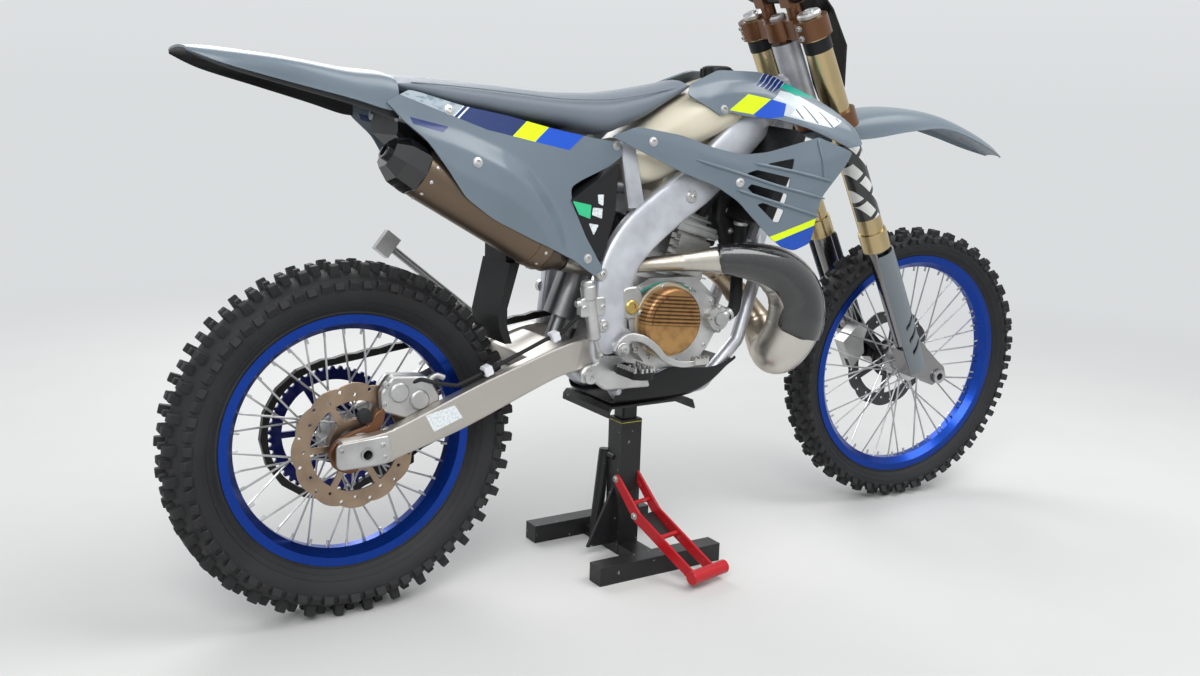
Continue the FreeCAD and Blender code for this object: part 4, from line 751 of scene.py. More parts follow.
def surfaceOf(stations, soft=0.006):
    # side surface y(x, z) from stations of x, each with as many (z, y) pairs; soft rounds the ridges
    xs = [station[0] for station in stations]
    rows = [[Vector(pair) for pair in station[1]] for station in stations]

    def height(x, z):
        i = max(0, min(len(xs) - 2, sum(1 for edge in xs if edge <= x) - 1))
        share = max(-0.2, min(1.2, (x - xs[i]) / (xs[i + 1] - xs[i])))
        table = blendRow(rows, i + share)
        return sum(alongLine(table, z + shift * soft) for shift in (-1, -0.5, 0, 0.5, 1)) / 5

    return height


def shell(points, faces, wall):
    # the faces, a copy of them a wall deeper, and the rims between
    normals = [Vector() for _ in points]
    for face in faces:
        a, b, c = (points[i] for i in face[:3])
        for i in face:
            normals[i] += (b - a).cross(c - a)
    inner = [point - normal.normalized() * wall for point, normal in zip(points, normals)]
    count = len(points)
    edges = dict.fromkeys((face[i - 1], face[i]) for face in faces for i in range(len(face)))
    rims = [[b, a, count + a, count + b] for a, b in edges if (b, a) not in edges]
    return points + inner, faces + [[count + i for i in face[::-1]] for face in faces] + rims


def panel(loops, surface, wall, step=0.0055):
    # shell of the right side, its outer faces turned outwards
    flat, faces = filled(loops, step)
    outer = [Vector((spot[0], surface(*spot), spot[1])) for spot in flat]
    turned = []
    for face in faces:
        a, b, c = (outer[i] for i in face[:3])
        turned.append(face[::-1] if (b - a).cross(c - a).y > 0 else face)
    return shell(outer, turned, wall)


def rounded(piece, width=0.0009):
    bevel = piece.modifiers.new("edges", "BEVEL")
    bevel.width = width
    bevel.segments = 2
    bevel.limit_method = "ANGLE"
    bevel.angle_limit = math.radians(50)
    bevel.harden_normals = False


def thickened(rows, wall, ring=False):
    # closed shell from a grid of points, wall thick on its left-hand side
    return outwards(shell(*grid(rows, ring), wall))


def facing(spot, way):
    # local Y points along way
    way = Vector(way).normalized()
    side = way.orthogonal().normalized()
    return Matrix.Translation(spot) @ Matrix((side, way, side.cross(way))).transposed().to_4x4()


def bolt(spot, way=(0, -1, 0), radius=0.006, tall=0.004):
    # round head with a socket, on a washer
    r = radius
    profile = [(0, -0.006), (r * 1.4, -0.006), (r * 1.4, 0.0006), (r, 0.0012), (r, tall * 0.8), (r * 0.84, tall),
               (r * 0.52, tall), (r * 0.46, tall * 0.3), (0, tall * 0.3)]
    return moved(lathe(profile, 18, closed=False), facing(spot, way))


def disc(spot, way, profile, sides=40):
    # turned part: profile of (radius, height along way), from the axis to the axis
    return moved(lathe(profile, sides, closed=False), facing(spot, way))


def drum(start, end, radius, edge=0.001, sides=28):
    start, end = Vector(start), Vector(end)
    long = (end - start).length
    profile = [(0, 0), (radius - edge, 0), (radius, edge), (radius, long - edge), (radius - edge, long), (0, long)]
    return disc(start, end - start, profile, sides)


def plate(corners, low, high, edge=0.001):
    # slab with softened corners and edges between y low and y high; corners are (x, z, radius)
    loop = softCorners(corners)
    count = len(loop)
    area = sum(loop[i - 1].x * loop[i].y - loop[i].x * loop[i - 1].y for i in range(count))
    turn = math.copysign(edge, area)
    inner = []
    for i in range(count):
        way = (loop[(i + 1) % count] - loop[i - 1]).normalized()
        inner.append(loop[i] + Vector((-way.y, way.x)) * turn)
    rows = []
    for y, flat in ((low, inner), (low + edge, loop), (high - edge, loop), (high, inner)):
        rows.append([Vector((spot.x, y, spot.y)) for spot in flat])
    points, faces = grid(rows, ring=True)
    faces += [list(range(count)), list(range(3 * count, 4 * count))[::-1]]
    return outwards((points, faces))


def built(rows):
    # parts from rows that name a tool and give its lengths in millimetres
    tools = {"box": box, "drum": drum, "plate": plate, "bolt": bolt}
    return [tools[kind](*mm(lengths)) for kind, *lengths in rows]


def fitted(name, slotName, parts, body="chassis", replaces=(), finish=None, smooth=35):
    # a finished piece from its parts, seated on its body
    piece = placed(name, joined(parts))
    piece.data.validate()
    piece.data.materials.append((finish or finishes[slotName]).material)
    piece.data.shade_smooth()
    piece.data.set_sharp_from_angle(angle=math.radians(smooth))
    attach(piece, body)
    if replaces:
        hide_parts(*replaces)
    return piece


# Geometry Nodes: a part repeated round an axis or along a line, made real at the end

def repeatTree(name, ring):
    tree = bpy.data.node_groups.new(name, "GeometryNodeTree")
    for word, kind in (("Part", "Geometry"), ("Count", "Int"), ("Step", "Vector"), ("Finish", "Material")):
        tree.interface.new_socket(word, in_out="INPUT", socket_type="NodeSocket" + kind)
    tree.interface.new_socket("Result", in_out="OUTPUT", socket_type="NodeSocketGeometry")
    bench = Bench(tree)
    given, index = bench.node("NodeGroupInput"), bench.node("GeometryNodeInputIndex")
    shift = bench.node("ShaderNodeVectorMath", {"operation": "SCALE"}, {0: given.out("Step"), "Scale": index})
    spots = bench.node("GeometryNodePoints", {}, {"Count": given.out("Count")} | ({} if ring else {"Position": shift}))
    copies = bench.node("GeometryNodeInstanceOnPoints", {}, {"Points": spots, "Instance": given.out("Part")}
                        | ({"Rotation": shift} if ring else {}))
    real = bench.node("GeometryNodeRealizeInstances", {}, [copies])
    coated = bench.node("GeometryNodeSetMaterial", {}, {"Geometry": real, "Material": given.out("Finish")})
    bench.node("NodeGroupOutput", {}, [coated])
    return tree


ringTree = repeatTree("ringOfParts", True)
rowTree = repeatTree("rowOfParts", False)


def repeated(tree, name, part, count, step, slotName):
    # step is turns in radians about the axes for a ring, or a shift for a row
    carrier = placed(name, part)
    modifier = carrier.modifiers.new("copies", "NODES")
    modifier.node_group = tree
    sockets = {item.name: item.identifier for item in tree.interface.items_tree if item.in_out == "INPUT"}
    for word, amount in (("Count", count), ("Step", step), ("Finish", finishes[slotName].material)):
        modifier[sockets[word]] = amount
    return evaluated(carrier)


def ringOf(name, part, count, slotName="cast_silver"):
    return repeated(ringTree, name, part, count, (0, 2 * math.pi / count, 0), slotName)


def rowOf(name, part, count, shift, slotName="cast_silver"):
    return repeated(rowTree, name, part, count, shift, slotName)


# Wheel places: local Y is the axle

def wheelPlace(joint):
    centre, axle = Vector(joints[joint]["pos_m"]), Vector(joints[joint]["axis"]).normalized()
    up = Vector((0, 0, 1))
    ahead = axle.cross(up).normalized()
    up = ahead.cross(axle)
    return Matrix.Translation(centre) @ Matrix((ahead, axle, up)).transposed().to_4x4()


rearPlace = wheelPlace("rear_wheel_spin")
frontPlace = wheelPlace("front_wheel_spin")
steerUp = Vector(joints["steering_turn"]["axis"])
if steerUp.z < 0:
    steerUp = -steerUp
forkSide = Vector(joints["front_wheel_spin"]["axis"]).normalized()
forkAhead = forkSide.cross(steerUp).normalized()
axleLead = 0.057
forkFoot = Vector(joints["front_wheel_spin"]["pos_m"]) - forkAhead * axleLead
forkPlace = Matrix.Translation(forkFoot) @ Matrix((forkAhead, forkSide, steerUp)).transposed().to_4x4()


# Tyres

tyres = {
    "rear": {"radius": 0.3377, "half": 0.0575, "rim": 0.242, "bead": 0.0255, "lug": 0.0145, "pitches": 36,
             "place": rearPlace, "body": "rear_wheel",
             # across, width, length, tilt in degrees, share of the pitch; on the wall also foot radius and height
             "knobs": [(-0.0125, 0.021, 0.017, 0, 0.0), (0.0125, 0.021, 0.017, 0, 0.0),
                       (-0.031, 0.017, 0.019, 12, 0.5), (0.031, 0.017, 0.019, -12, 0.5), (0, 0.014, 0.013, 0, 0.5),
                       (-0.0475, 0.015, 0.021, 34, 0.05), (0.0475, 0.015, 0.021, -34, 0.05),
                       (-0.0455, 0.018, 0.020, 66, 0.52, 0.2965, 0.0125),
                       (0.0455, 0.018, 0.020, -66, 0.52, 0.2965, 0.0125)]},
    "front": {"radius": 0.346, "half": 0.0425, "rim": 0.281, "bead": 0.0195, "lug": 0.0125, "pitches": 40,
              "place": frontPlace, "body": "front_wheel",
              "knobs": [(-0.0095, 0.015, 0.015, 0, 0.0), (0.0095, 0.015, 0.015, 0, 0.0),
                        (-0.023, 0.013, 0.017, 14, 0.5), (0.023, 0.013, 0.017, -14, 0.5),
                        (-0.0355, 0.012, 0.017, 38, 0.02), (0.0355, 0.012, 0.017, -38, 0.02),
                        (-0.0320, 0.013, 0.016, 66, 0.5, 0.3170, 0.0105),
                        (0.0320, 0.013, 0.016, -66, 0.5, 0.3170, 0.0105)]},
}


def tyreProfile(t):
    # carcass section from the bead over the crown and back inside
    rim, bead, wall = t["rim"], t["bead"], 0.008
    outer = [(rim - 0.0128, bead), (rim - 0.001, bead + 0.0005), (rim + 0.003, bead + 0.003),
             (rim + 0.006, bead + 0.0026)]
    flank, foot = rim + 0.010, bead + 0.004
    tall, spread = t["radius"] - t["lug"] - flank, t["half"] - 0.005 - foot
    for i in range(13):
        high = tall * math.sin(math.radians(8 + 82 * i / 12)) ** 1.25
        wide = foot + spread * math.sin(min(1, (high + 0.004) / tall * 1.55) * math.pi / 2)
        fall = max(0, (high / tall - 0.62) / 0.38)
        outer.append((flank + high, wide * math.sqrt(max(0.0, 1 - fall ** 2.2)) if fall < 1 else 0.0))
    ring = outer + [(radius, -y) for radius, y in outer[-2::-1]]
    return ring + [(radius - wall if radius > flank + 0.02 else radius, y * 0.82) for radius, y in ring[::-1]]


def crownHeight(t, across):
    # radius of the carcass at a place across it
    profile = sorted((abs(y), radius) for radius, y in tyreProfile(t)[4:17] if radius > t["rim"] + 0.03)
    return alongLine(profile, abs(across))


def makeTyre(which):
    t = tyres[which]
    step = 2 * math.pi / t["pitches"]
    knobs = []
    for across, width, length, tilt, shift, *wall in t["knobs"]:
        foot = wall[0] if wall else crownHeight(t, across) - 0.003
        tall = wall[1] if wall else t["radius"] - foot if abs(tilt) < 20 else 0.0165
        points, faces = box((-length / 2, -width / 2, 0), (length / 2, width / 2, tall))
        for point in points:
            point.xy *= 1 - 0.16 * point.z / tall
        place = Matrix.Rotation(shift * step, 4, "Y") @ Matrix.Translation((0, across, foot)) @ spin(tilt, "X")
        mesh = packed(moved((points, faces), place))
        bmesh.ops.bevel(mesh, geom=mesh.edges, offset=0.0012, segments=1, affect="EDGES")
        knobs.append(unpacked(mesh))
    parts = [lathe(tyreProfile(t), 144), ringOf(which + "Tread", joined(knobs), t["pitches"], "tyre_rubber")]
    for radius, wide in ((t["rim"] + 0.014, 0.0012), (t["rim"] + 0.024, 0.0010)):
        y = alongLine(sorted(tyreProfile(t)[3:17]), radius)
        for side in (1, -1):
            rib = [(radius - wide, side * y), (radius, side * (y + 0.001)), (radius + wide, side * y)]
            parts.append(lathe(rib, 144, closed=False))
    fitted(which + "TyreKnobs", "tyre_rubber", [moved(joined(parts), t["place"])], t["body"], [which + "_tyre"])


for which in tyres:
    makeTyre(which)
print("tyres made")


# Spoke nipples

nipples = {"rear": {"reach": 0.212, "place": rearPlace, "body": "rear_wheel"},
           "front": {"reach": 0.251, "place": frontPlace, "body": "front_wheel"}}


def makeNipples(which):
    n = nipples[which]
    nipple = lathe(mm([(0, -12), (2.6, -12), (2.6, 0), (3.4, 1.5), (0, 1.5)]), 8, closed=False)
    pair = [moved(nipple, spin(turn, "Y") @ Matrix.Translation((n["reach"], y, 0)) @ spin(-90, "Z"))
            for turn, y in ((0, 0.003), (10, -0.003))]
    part = ringOf(which + "Nipples", joined(pair), 18, "silver_hub")
    fitted(which + "SpokeNipples", "silver_hub", [moved(part, n["place"])], n["body"], smooth=30)


for which in nipples:
    makeNipples(which)
print("nipples made")


# Side panels

sidePanel = {
    "wall": 0.0035, "soft": 0.005,
    "outline": mm([(-600, 964, 4), (-554, 985, 10), (-533, 981, 30), (-446, 960, 200), (-355, 945, 200),
                   (-260, 924, 200), (-167, 907, 100), (-128, 902, 20), (-98, 898, 12), (-100, 872, 10),
                   (-130, 852, 50), (-196, 826, 50), (-222, 813, 18), (-218, 780, 30), (-190, 718, 100),
                   (-150, 652, 8), (-172, 642, 12), (-223, 676, 50), (-317, 717, 200), (-407, 760, 200),
                   (-462, 800, 60), (-494, 848, 200), (-528, 898, 100), (-568, 931, 50)]),
    "stations": mm([(-600, [(880, -136), (910, -134), (930, -130), (952, -124), (990, -112)]),
                    (-531, [(850, -142), (880, -140), (905, -134), (930, -123), (985, -110)]),
                    (-466, [(790, -151), (840, -151), (888, -138), (916, -121), (965, -106)]),
                    (-377, [(740, -151), (800, -155), (850, -146), (884, -121), (950, -102)]),
                    (-322, [(700, -149), (760, -154), (812, -147), (854, -120), (940, -100)]),
                    (-280, [(640, -145), (700, -150), (752, -145), (808, -120), (930, -98)]),
                    (-240, [(580, -140), (630, -142), (680, -138), (752, -121), (930, -96)]),
                    (-190, [(500, -134), (550, -134), (600, -133), (690, -124), (920, -96)]),
                    (-96, [(400, -130), (450, -130), (500, -130), (610, -127), (900, -98)])]),
}


def makeSidePanels():
    s = sidePanel
    skin = panel([softCorners(s["outline"])], surfaceOf(s["stations"], s["soft"]), s["wall"])
    rounded(fitted("sidePanels", "slate_plastic", [both(skin)], replaces=["side_panels"],
                   finish=panelFinish, smooth=40))


makeSidePanels()
print("side panels made")


# Radiator shrouds: main panel with its slats and window, then the band over the tank

shroud = {
    "wall": 0.0035, "soft": 0.004, "bandSoft": 0.005,
    "outline": mm([(-136, 911, 4), (-74, 931, 50), (29, 915, 200), (102, 892, 200), (169, 879, 100),
                   (222, 885, 100), (289, 904, 200), (338, 918, 10), (413, 888, 8), (395, 860, 20),
                   (337, 793, 50), (327, 748, 10), (323, 697, 20), (281, 681, 30), (250, 690, 20),
                   (226, 707, 10), (197, 738, 50), (154, 785, 100), (104, 815, 100), (26, 842, 200),
                   (-105, 899, 20)]),
    "window": mm([[(220, 862, 3), (279, 874, 4), (272, 851, 3), (226, 858, 3)],
                  [(170, 841, 3), (196, 849, 5), (267, 834, 4), (262, 813, 4), (211, 826, 10)],
                  [(173, 812, 3), (182, 820, 4), (259, 800, 4), (253, 780, 4), (188, 798, 10)],
                  [(194, 778, 3), (206, 782, 4), (252, 767, 4), (241, 742, 4), (229, 743, 6)]]),
    "stations": mm([(-136, [(800, -122), (860, -121), (895, -119), (925, -116), (950, -111)]),
                    (-74, [(800, -125), (860, -122), (895, -121), (918, -118), (940, -111)]),
                    (26, [(780, -138), (830, -138), (870, -136), (895, -132), (930, -120)]),
                    (104, [(760, -147), (800, -147), (848, -145), (872, -142), (900, -131)]),
                    (160, [(730, -158), (770, -159), (828, -157), (858, -152), (885, -143)]),
                    (230, [(700, -186), (750, -184), (810, -179), (850, -172), (885, -163)]),
                    (281, [(680, -193), (740, -197), (800, -196), (860, -186), (910, -172)]),
                    (335, [(690, -198), (750, -206), (820, -207), (870, -202), (920, -185)]),
                    (413, [(740, -210), (800, -212), (860, -213), (890, -213), (930, -205)])]),
    "ribs": mm([[(190, 862), (273, 847), (362, 827)], [(54, 868), (164, 839), (241, 816), (346, 791)],
                [(150, 808), (236, 782), (336, 753)], [(335, 914), (339, 870), (343, 829)]]),
    "ribSize": 0.0036,
    "bandOutline": mm([(66, 997, 6), (102, 973, 20), (128, 957, 12), (157, 964, 12), (190, 957, 30),
                       (256, 953, 100), (323, 938, 200), (413, 897, 20), (448, 905, 8), (440, 936, 20),
                       (400, 978, 50), (364, 1002, 30), (310, 1030, 20), (290, 1044, 10), (258, 1050, 50),
                       (166, 1050, 50), (82, 1018, 10)]),
    "bandStations": mm([(66, [(940, -104), (970, -100), (994, -89), (1010, -74), (1022, -56)]),
                        (110, [(940, -119), (968, -113), (995, -103), (1020, -80), (1036, -52)]),
                        (170, [(940, -126), (958, -121), (1000, -110), (1030, -86), (1052, -50)]),
                        (256, [(930, -148), (953, -142), (1000, -128), (1030, -98), (1052, -62)]),
                        (323, [(900, -176), (940, -166), (975, -148), (1000, -128), (1040, -88)]),
                        (420, [(880, -210), (903, -206), (940, -189), (968, -164), (1000, -130)]),
                        (452, [(880, -212), (903, -207), (930, -190), (960, -168), (990, -140)])]),
}


def onSurface(line, surface, lift, count=40):
    # smooth line of (x, z) laid on a side surface
    flat = resampled([Vector(spot) for spot in line], count)
    return [(spot[0], surface(*spot) - lift, spot[1]) for spot in flat]


def makeShrouds():
    s = shroud
    surface = surfaceOf(s["stations"], s["soft"])
    main = panel([softCorners(loop) for loop in [s["outline"]] + s["window"]], surface, s["wall"])
    band = panel([softCorners(s["bandOutline"])], surfaceOf(s["bandStations"], s["bandSoft"]), s["wall"])
    rounded(fitted("radiatorShrouds", "slate_plastic", [both(joined([main, band]))], replaces=["radiator_shrouds"],
                   finish=shroudFinish, smooth=40))
    ribs = []
    for line in s["ribs"]:
        path = onSurface(line, surface, 0.0004)
        count = len(path)
        sizes = [s["ribSize"] * min(1, 0.3 + 7 * min(i, count - 1 - i) / count) for i in range(count)]
        ribs.append(tube(path, sizes, 12))
    fitted("shroudRibs", "slate_plastic", [both(joined(ribs))], smooth=60)


makeShrouds()
print("shrouds made")


# Fenders: rows across the bike, smoothed both ways

rearFender = {
    "wall": 0.004,
    "rows": mm([(-915, [(-60, 1033.5), (-50, 1038), (0, 1041)]),
                (-860, [(-84, 1014), (-70, 1033), (0, 1041)]),
                (-760, [(-100, 990), (-88, 1023), (0, 1031)]),
                (-660, [(-116, 966), (-95, 1008), (0, 1018)]),
                (-600, [(-116, 950), (-97, 1003), (0, 1014)]),
                (-574, [(-112, 948), (-97, 997), (0, 1010)])]),
    "tail": mm([(-566, [(-110, 945), (-97, 966), (0, 975)]),
                (-470, [(-96, 922), (-90, 945), (0, 949)]),
                (-300, [(-76, 909), (-70, 923), (0, 926)])]),
}
frontFender = {
    "wall": 0.004,
    "rows": mm([(455, [(-52, 900), (-48, 911), (0, 915)]),
                (520, [(-68, 910), (-58, 938), (0, 948)]),
                (600, [(-88, 920), (-68, 962), (0, 974)]),
                (700, [(-98, 938), (-73, 975), (0, 984)]),
                (800, [(-96, 944), (-70, 968), (0, 974)]),
                (910, [(-78, 920), (-58, 937), (0, 941)]),
                (1000, [(-54, 892), (-40, 904), (0, 906)]),
                (1060, [(-25, 874.5), (-17, 877.5), (0, 879)])]),
}


def fenderSkin(table, wall, long):
    rows = [[Vector((x, y, z)) for y, z in half + [(-y, z) for y, z in half[-2::-1]]] for x, half in table]
    columns = smoothed(spun(smoothed(rows, long)), 33)
    return thickened(spun(columns), wall)


def makeFenders():
    r, f = rearFender, frontFender
    parts = [fenderSkin(r["rows"], r["wall"], 60), fenderSkin(r["tail"], r["wall"], 30)]
    rounded(fitted("rearFenderShell", "slate_plastic", parts, replaces=["rear_fender"], smooth=45), 0.0012)
    liner = [(x, [(y * 0.985, z - 0.003 - 0.0020 * i) for y, z in half]) for i, (x, half) in enumerate(r["rows"])]
    fitted("fenderLiner", "black_plastic", [fenderSkin(liner, 0.003, 50)], smooth=45)
    level = Matrix(((steerUp.z, 0, -steerUp.x), (0, 1, 0), steerUp)).transposed().to_4x4()
    straight = Matrix.Translation(forkFoot) @ level   # the fork's place with the bars straight
    part = moved(fenderSkin(f["rows"], f["wall"], 70), forkPlace @ straight.inverted())
    rounded(fitted("frontFenderShell", "slate_plastic", [part], "steering", ["front_fender"], smooth=45), 0.0012)


makeFenders()
print("fenders made")


# Seat

seat = {
    # x, half width low, half width high, underside, top
    "stations": mm([(-568, 92, 80, 986, 1006), (-540, 94, 86, 975, 1011), (-470, 97, 91, 959, 1008),
                    (-400, 98, 91, 948, 1004), (-330, 98, 90, 938, 999), (-230, 96, 86, 927, 992),
                    (-130, 90, 76, 911, 993), (-80, 83, 70, 922, 998), (-20, 74, 62, 945, 1007),
                    (40, 64, 53, 978, 1018), (80, 55, 45, 998, 1026), (98, 45, 36, 1008, 1026)]),
    "around": 64, "long": 120, "piping": 0.0022,
}


def hullRing(x, halfLow, halfHigh, low, high, count, square=3.2, crown=0.012):
    middle, half = (low + high) / 2, (high - low) / 2
    ring = []
    for i in range(count):
        angle = 2 * math.pi * i / count
        rise = power(math.sin(angle), 2 / square)
        share = (rise + 1) / 2
        wide = halfLow + (halfHigh - halfLow) * share + 0.004 * math.sin(math.pi * share)
        y = wide * power(math.cos(angle), 2 / square)
        top = crown * (1 - (y / max(wide, 1e-6)) ** 2) if rise > 0 else 0
        ring.append(Vector((x, y, middle + half * rise - (crown - top) * max(0, rise) * 0.9)))
    return ring


def makeSeat():
    s = seat
    rings = smoothed([hullRing(*station, s["around"]) for station in s["stations"]], s["long"])
    for ring, way in ((rings[0], -1), (rings[-1], 1)):
        centre = sum(ring, Vector()) / len(ring)
        ends = []
        for share in (0.35, 0.65, 0.85, 0.96):
            scale = math.sqrt(1 - share ** 2)
            ends.append([centre + (point - centre) * scale + Vector((way * 0.010 * share, 0, 0)) for point in ring])
        rings = ends[::-1] + rings if way < 0 else rings + ends
    cover = fitted("seatCover", "seat_vinyl", [closedForm(rings)], replaces=["seat"], smooth=60)
    # piping where the top meets the sides
    paths = []
    for side in (-1, 1):
        line = [(x, side * (halfHigh + 0.0015), high - 0.013) for x, _, halfHigh, _, high in s["stations"][1:-1]]
        paths.append(tube(line, s["piping"] * 0.5, 8, 90))
    fitted("seatSeam", "seat_vinyl", paths, smooth=30)


makeSeat()
print("seat made")


# Fuel tank

tank = {
    "upper": mm([(-50, 72, 70, 862, 905), (-10, 86, 82, 856, 938), (30, 98, 92, 862, 966),
                 (70, 108, 100, 878, 987), (140, 112, 100, 907, 1018), (205, 104, 84, 932, 1040),
                 (244, 86, 64, 955, 1034)]),
    "lower": mm([(-66, 78, 84, 856, 893), (-56, 82, 88, 828, 893), (-40, 84, 90, 815, 893),
                 (-10, 85, 92, 814, 893), (30, 86, 92, 826, 893), (60, 84, 90, 838, 893)]),
    "front": mm([(20, 74, 74, 800, 880), (70, 78, 78, 752, 900), (110, 79, 79, 750, 910),
                 (150, 79, 79, 770, 925), (180, 72, 72, 800, 940)]),
    "cap": (0.203, 0.033), "capHeight": 1.040,
}


def makeTank():
    parts = []
    for key, square in (("upper", 3.4), ("lower", 4.5), ("front", 4.5)):
        rings = smoothed([hullRing(*station, 56, square, 0.006) for station in tank[key]], 50)
        parts.append(closedForm(rings))
    fitted("fuelTank", "clear_plastic", parts, replaces=["fuel_tank"], smooth=50)
    x, r = tank["cap"]
    cap = lathe([(0, 0.020), (r * 0.7, 0.020), (r * 0.94, 0.017), (r, 0.010), (r, -0.006), (0, -0.006)], 48, False)
    lug = box((r * 0.96, -0.004, -0.004), (r * 1.08, 0.014, 0.004), 0.001)
    grips = ringOf("capGrips", lug, 12, "black_plastic")
    upright = Matrix.Translation((x, 0, tank["capHeight"])) @ spin(90, "X")
    fitted("tankCap", "black_plastic", [moved(joined([cap, grips]), upright)], smooth=30)


makeTank()
print("tank made")


# Frame spars and swingarm: smooth bars through stations of (x, y, z, up x, up z, height, thickness)

spars = {
    "stations": mm([(396, -20, 1002, -450, 900, 98, 36), (342, -30, 1000, -420, 900, 90, 34),
                    (288, -64, 970, -450, 900, 82, 34), (246, -86, 944, -500, 850, 80, 32),
                    (170, -94, 884, -580, 810, 86, 32), (99, -99, 823, -620, 780, 90, 32),
                    (10, -102, 766, -660, 750, 92, 32), (-62, -104, 712, -760, 650, 92, 32),
                    (-104, -104, 650, -930, 360, 88, 32), (-120, -104, 570, -1000, 0, 82, 32),
                    (-122, -104, 490, -1000, -120, 86, 32), (-108, -101, 427, -900, -400, 62, 28)]),
    "square": 3.6,
    "foot": mm([(-150, 600, 20), (-116, 604, 20), (-102, 565, 40), (-92, 536, 30), (-72, 520, 30),
                (-42, 507, 4), (-70, 496, 30), (-96, 470, 20), (-152, 474, 20)]),
}


def barRings(stations, square, count=48):
    return [ovalRing((x, y, z), (0, 1, 0), Vector((upX, 0, upZ)).normalized(), thick / 2, height / 2, square, count)
            for x, y, z, upX, upZ, height, thick in stations]


def makeSpars():
    rings = smoothed(barRings(spars["stations"], spars["square"]), 90)
    foot = plate(spars["foot"], -0.1195, -0.098, 0.004)
    fitted("frameSpars", "raw_aluminium", [both(joined([closedForm(rings), foot]))], replaces=["frame_spars"],
           smooth=45)


makeSpars()
print("spars made")


# Exhaust

exhaust = {
    # x, y, z, radius; each row is a welded joint
    "stations": mm([(165, 0, 640, 21), (225, 0, 618, 23), (285, -4, 566, 27), (326, -26, 505, 34),
                    (330, -72, 452, 45), (318, -122, 452, 55), (336, -146, 508, 60), (330, -150, 575, 57),
                    (286, -146, 626, 49), (216, -139, 652, 38), (130, -128, 660, 28), (50, -112, 657, 19),
                    (-30, -80, 650, 15), (-90, -66, 644, 15), (-150, -68, 648, 15), (-190, -82, 658, 16),
                    (-232, -95, 670, 20)]),
    "guardFrom": 5.9, "guardTo": 10.1, "guardSpread": 88, "guardGap": 0.0025, "guardWall": 0.003,
}


def exhaustSpot(spot):
    row = blendRow([list(station) for station in exhaust["stations"]], spot)
    return Vector(row[:3]), row[3]


def makeExhaust():
    e = exhaust
    last = len(e["stations"]) - 1
    path, sizes = [], []
    for i in range(240):
        spot = last * i / 239
        centre, radius = exhaustSpot(spot)
        weld = abs(spot - round(spot)) < 0.035 and 0.5 < spot < 11.5
        path.append(centre)
        sizes.append(radius + (0.0011 if weld else 0))
    fitted("expansionChamber", "raw_steel", [tube(path, sizes, 40)], replaces=["exhaust_pipe"], smooth=50)
    rows = []
    for i in range(41):
        share = i / 40
        spot = e["guardFrom"] + (e["guardTo"] - e["guardFrom"]) * share
        centre, radius = exhaustSpot(spot)
        way = (exhaustSpot(spot + 0.05)[0] - exhaustSpot(spot - 0.05)[0]).normalized()
        out = Vector((0.25, -1, 0.5))
        out = (out - way * out.dot(way)).normalized()
        taper = min(1, math.sqrt(max(0.0, 1 - max(0, abs(share - 0.5) * 2 - 0.86) ** 2 / 0.0196)))
        spread = math.radians(e["guardSpread"]) * (0.35 + 0.65 * taper)
        reach = radius + e["guardGap"] + e["guardWall"]
        rows.append([centre + (Matrix.Rotation(spread * (j / 14 - 1), 3, way) @ out) * reach for j in range(29)])
    guard = thickened(rows, e["guardWall"])
    rounded(fitted("pipeGuard", "carbon_weave", [guard], replaces=["pipe_guard"], smooth=50), 0.001)


makeExhaust()
print("exhaust made")


# Swingarm: boxed arms with weld beads, end blocks and their bolts

swing = {
    "stations": mm([(-126, -88, 482, 200, 1000, 43, 30), (-152, -90, 480, 200, 1000, 62, 32),
                    (-228, -98, 473, 320, 1000, 70, 28), (-380, -98, 419, 340, 1000, 84, 28),
                    (-455, -98, 392, 300, 1000, 82, 28), (-560, -98, 356, 200, 1000, 66, 28),
                    (-607, -98, 342, 0, 1000, 60, 28), (-681, -98, 338, 0, 1000, 54, 28)]),
    "square": 9, "beads": (27, 28, 92, 93), "axle": mm((-637, 338)), "hole": 0.0126,
    "bridge": mm([(-206, 505, 10), (-290, 480, 10), (-300, 452, 10), (-286, 424, 10), (-206, 446, 10)]),
    "block": mm([(-694, 362, 12), (-596, 368, 4), (-588, 332, 4), (-600, 316, 6), (-694, 314, 14)]),
    "bolts": mm([(-607, 352, 4.5), (-603, 329, 3.5), (-684, 350, 3.5)]),
    "sticker": mm([(-522, 396, 1), (-463, 409, 1), (-446, 384, 1), (-505, 363, 1)]),
    "clips": mm([(-390, -99, 468), (-247, -105, 524)]), "slope": -19.6,
}


def cutBy(part, tool):
    # the part less the tool's room
    item, knife = placed("work", part), placed("work", tool)
    cut = item.modifiers.new("cut", "BOOLEAN")
    cut.operation = "DIFFERENCE"
    cut.solver = "EXACT"
    cut.object = knife
    return evaluated(item, knife)


